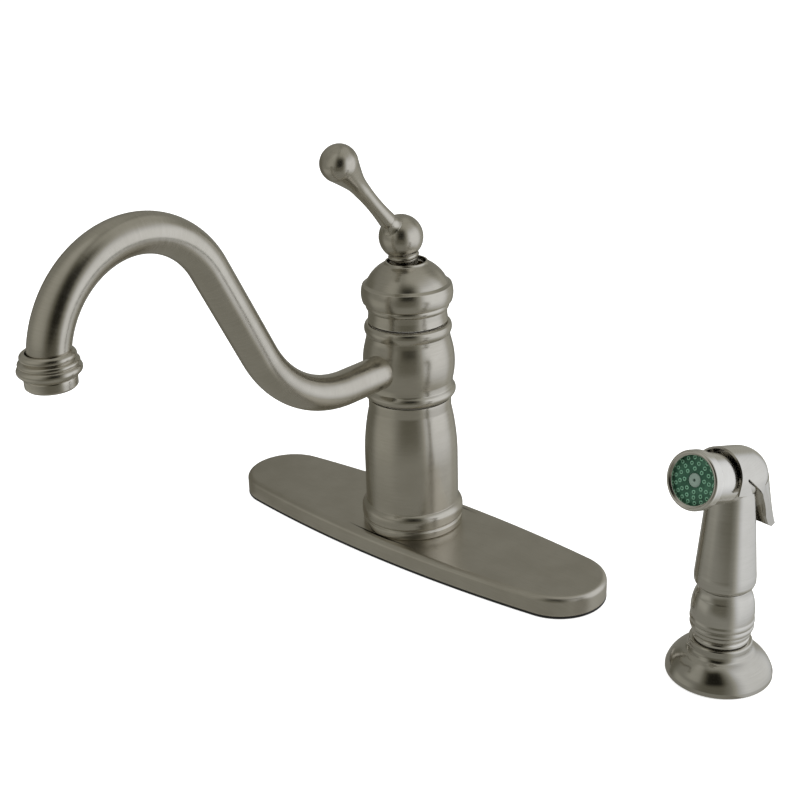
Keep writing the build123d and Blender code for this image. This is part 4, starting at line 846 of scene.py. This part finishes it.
def jet_disc(name, rows=84, around=560):
    """Disc in metres: centre + r * (cos, sin) in its plane + height * forward.

    The height is a low dome, plus a round nub at each jet, less a pit in the nub's middle. The last rows
    run down the rim and back under the disc, so that it closes on itself."""
    head_up = np.cross(head_dir, sideways)
    head_up *= np.sign(head_up[2])
    rim, hole, crown = 12.0, 3.3, 29.6 - 0.27
    dome_drop, nub_height, pit_depth = 0.63, 0.45, 1.3
    jet_rings = ((5.3, 8), (7.9, 13), (10.4, 18))
    radius = np.concatenate([np.linspace(3.35, 11.95, rows), [rim, rim, hole, hole]])
    angle = np.linspace(0, 2 * pi, around, endpoint=False)
    across, along = radius[:, None] * np.cos(angle), radius[:, None] * np.sin(angle)
    jets = np.concatenate([
        ring * np.stack([np.cos(turn), np.sin(turn)], -1)
        for ring, turn in ((r, np.arange(n) * 2 * pi / n + r) for r, n in jet_rings)
    ])
    gap = np.hypot(across[..., None] - jets[:, 0], along[..., None] - jets[:, 1]).min(-1)

    def fading(start, width):
        """One from a jet's middle out to the start, then falling smoothly to nought over the width."""
        share = 1 - np.clip((gap - start) / width, 0, 1)
        return share * share * (3 - 2 * share)

    nub, pit = fading(0.78, 0.46), fading(0.30, 0.14)
    level = crown - dome_drop * (radius[:, None] / rim) ** 2 + nub_height * nub - pit_depth * pit
    level[-4:] = np.array([28.6, 27.0, 27.0, 29.0])[:, None]
    points = head_centre + level[..., None] * head_dir
    points = points + across[..., None] * sideways + along[..., None] * head_up
    normals = grid_normals(points)
    normals *= np.sign((normals[5] @ head_dir).mean())
    # painted shade: the mask falls to nought in the jets' pits and to 0.2 on the rim and underside rows,
    # where the material paints the green nearly black; it rises to one on the nubs
    mask = 0.5 + 0.5 * nub - pit
    mask[-4:] = 0.2
    return surface(name, points / 1000, normals, points / 1000, mask.clip(0, 1), True)


face_look, tree, shader = new_look("green_jet_look", (0.06, 0.22, 0.14), roughness=0.32)
effect = add_group(tree, moulded, Pits=pits_to_the_metre)
relief_mask = tree.nodes.new("ShaderNodeAttribute")
relief_mask.attribute_name = "wear_and_pit_shade"
green = smooth_step(tree, effect["Cloud"], 0.35, 0.65)
green = mix_colours(tree, green, (0.020, 0.088, 0.050), (0.050, 0.160, 0.095))
# painted shade: where the mask is low, in the jets' pits and on the disc's rim and underside, the green
# is darkened nearly to black
out_of_pit = smooth_step(tree, relief_mask.outputs["Fac"], 0.0, 0.45)
green = mix_colours(tree, out_of_pit, (0.004, 0.014, 0.010), green)
on_nub = smooth_step(tree, relief_mask.outputs["Fac"], 0.55, 1.0)
green = mix_colours(tree, on_nub, green, (0.21, 0.45, 0.30))
tree.links.new(green, shader.inputs["Base Color"])
tree.links.new(smooth_step(tree, effect["Cloud"], 0.3, 0.7, 0.26, 0.42), shader.inputs["Roughness"])
tree.links.new(effect["Normal"], shader.inputs["Normal"])
place_piece(jet_disc("spray_face_jets"), "sprayer", "green_plastic", face_look, "spray_face")

# =====================================================================
# Face button: a pale moulding of hard plastic, pressed into the hole in the middle of the spray
# face. Its head stands nearly flush with the face, and its slimmer stem ends behind it.
# =====================================================================


def plain_plastic(name, light, dark, smooth, rough):
    """Moulded look placed by the object's own coordinates."""
    look, tree, shader = new_look(name, light)
    effect = add_group(tree, moulded, Pits=pits_to_the_metre)
    colour = mix_colours(tree, smooth_step(tree, effect["Cloud"], 0.3, 0.7), dark, light)
    gloss = smooth_step(tree, effect["Cloud"], 0.3, 0.7, smooth, rough)
    tree.links.new(colour, shader.inputs["Base Color"])
    tree.links.new(gloss, shader.inputs["Roughness"])
    tree.links.new(effect["Normal"], shader.inputs["Normal"])
    return look


button_look = plain_plastic("pale_plastic_look", (0.32, 0.42, 0.36), (0.26, 0.36, 0.30), 0.3, 0.45)
button = turned(
    "face_button_turned",
    (
        (0, 27.4), (0.55, 27.4), (0.6, 29.3), (0.75, 29.62), (1.0, 29.68), (2.4, 29.58), (3.1, 29.3),
        (3.25, 29.0), (3.25, 27.0), (2.4, 27.0), (2.4, 25.3), (0, 25.3),
    ),
    closed=False, foot=head_centre, axis=head_dir, around=80, round_over=0.06,
)
place_piece(button, "sprayer", "pale_plastic", button_look, "face_button")

# =====================================================================
# Finishes of the parts that keep their own solids: brass and steel for the valve, its nuts and
# washers, plastic, ceramic and rubber inside, and plated handle, trigger, ball and neck.
# =====================================================================

cad_looks = {
    "black_rubber": rubber_look,
    "green_plastic": face_look,
    "pale_plastic": button_look,
    "brass": metal_look("brass_look", (0.72, 0.55, 0.27), (0.58, 0.43, 0.2), 0.25, 0.42, False, 0.8),
    "steel": metal_look("steel_look", (0.62, 0.61, 0.59), (0.52, 0.51, 0.5), 0.2, 0.36, False, 0.8),
    "brushed_nickel": metal_look("nickel_cast_look", *nickel_finish, by_grain=False),
    "plated_plastic": metal_look("plated_moulding_look", *spray_finish, by_grain=False),
    "white_plastic": plain_plastic("white_plastic_look", (0.78, 0.78, 0.75), (0.7, 0.7, 0.67), 0.35, 0.5),
    "ceramic": plain_plastic("ceramic_look", (0.86, 0.85, 0.8), (0.8, 0.79, 0.74), 0.12, 0.25),
}
for part in frame["record"]["subparts"]:
    for slot in frame["nodes"][part["node"]].material_slots:
        slot.material = cad_looks[part["material_slot"]]

# =====================================================================
# Plunger spring: a steel wire coil with flattened end turns, that stands on the valve's shelf.
# The plunger's collar squashes it as the trigger is squeezed.
# =====================================================================


def coil(name, foot, radius, wire, low, high, turns, per_turn=40, around=14):
    """Wire coil in metres: foot + radius * (cos, sin of the turn) + height, with a round wire section.

    The height rises evenly in the middle, and over 0.8 of a turn at each end it rises only a little
    more than the wire's thickness, so that the end turns lie flat."""
    end_turn, end_rise = 0.8, 2.3 * wire
    turn = np.linspace(0, turns, int(turns * per_turn) + 1)
    height = np.interp(
        turn, [0, end_turn, turns - end_turn, turns], [low, low + end_rise, high - end_rise, high]
    )
    angle = 2 * pi * turn
    out_way = np.stack([np.cos(angle), np.sin(angle), angle * 0], -1)
    section = np.linspace(0, 2 * pi, around, endpoint=False)
    up = np.array([0, 0, 1.0])
    spoke = np.cos(section)[None, :, None] * out_way[:, None] + np.sin(section)[None, :, None] * up
    line = foot + radius * out_way + height[:, None] * up
    points = line[:, None] + wire * spoke
    return surface(name, points / 1000, spoke, points / 1000, np.zeros(points.shape[:2]), False)


plunger_setback = 5.5
plunger_foot = spray_foot - plunger_setback * forward
spring = coil(
    "plunger_spring_coil", plunger_foot, radius=2.8, wire=0.35, low=101.6, high=109.0, turns=6.0
)
place_piece(spring, "sprayer", "steel", cad_looks["steel"], "plunger_spring")
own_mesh(spring)

# =====================================================================
# Threaded shanks: tubes under the deck, with a thread that the nuts run on. The thick one is
# brass and carries the faucet's body, and the thin one is moulded and carries the spray's holder.
# =====================================================================


def threaded_tube(name, foot, outer, bore, mouth, low, high, thread_low, thread_high, pitch, around=96):
    """Tube in metres with a thread cut in its outside: outer radius less depth * a rounded V.

    The V is a cosine of height / pitch less the angle's share of a turn, and fades out at its two ends.
    The rows run up the outside, over the chamfered end, down the bore and back. Over its top 5 mm the
    bore widens evenly to the mouth's radius."""
    chamfer, mouth_depth = 0.8, 5.0
    height = np.arange(low + chamfer, high - chamfer, pitch / 9)
    angle = np.linspace(0, 2 * pi, around, endpoint=False)
    wave = 0.5 + 0.5 * np.cos(2 * pi * (height[:, None] / pitch - angle / (2 * pi)))
    fade = np.clip((height - thread_low) / pitch, 0, 1) * np.clip((thread_high - height) / pitch, 0, 1)
    outside = outer - 0.55 * pitch * fade[:, None] * (1 - np.sqrt(1 - 0.9 * wave))
    radius = np.concatenate([
        np.repeat([[bore], [outer - chamfer]], around, 1), outside,
        np.repeat([[outer - chamfer], [mouth], [bore]], around, 1),
    ])
    level = np.concatenate([[low, low], height, [high, high, high - mouth_depth]])[:, None]
    points = foot + np.stack(
        np.broadcast_arrays(radius * np.cos(angle), radius * np.sin(angle), level), -1
    )
    normals = -grid_normals(points)
    return surface(name, points / 1000, normals, points / 1000, np.zeros(points.shape[:2]), True)


shank = threaded_tube(
    "mounting_shank_threaded", np.zeros(3), outer=16.25, bore=13.6, mouth=13.6,
    low=-55.0, high=38.0, thread_low=-54.0, thread_high=10.0, pitch=1.8,
)
place_piece(shank, "base", "brass", cad_looks["brass"], "mounting_shank")
thin_shank = threaded_tube(
    "holder_shank_threaded", spray_foot, outer=14.2, bore=10.6, mouth=11.3,
    low=-40.0, high=9.2, thread_low=-39.0, thread_high=8.0, pitch=1.6,
)
place_piece(thin_shank, "base", "white_plastic", cad_looks["white_plastic"], "holder_shank")
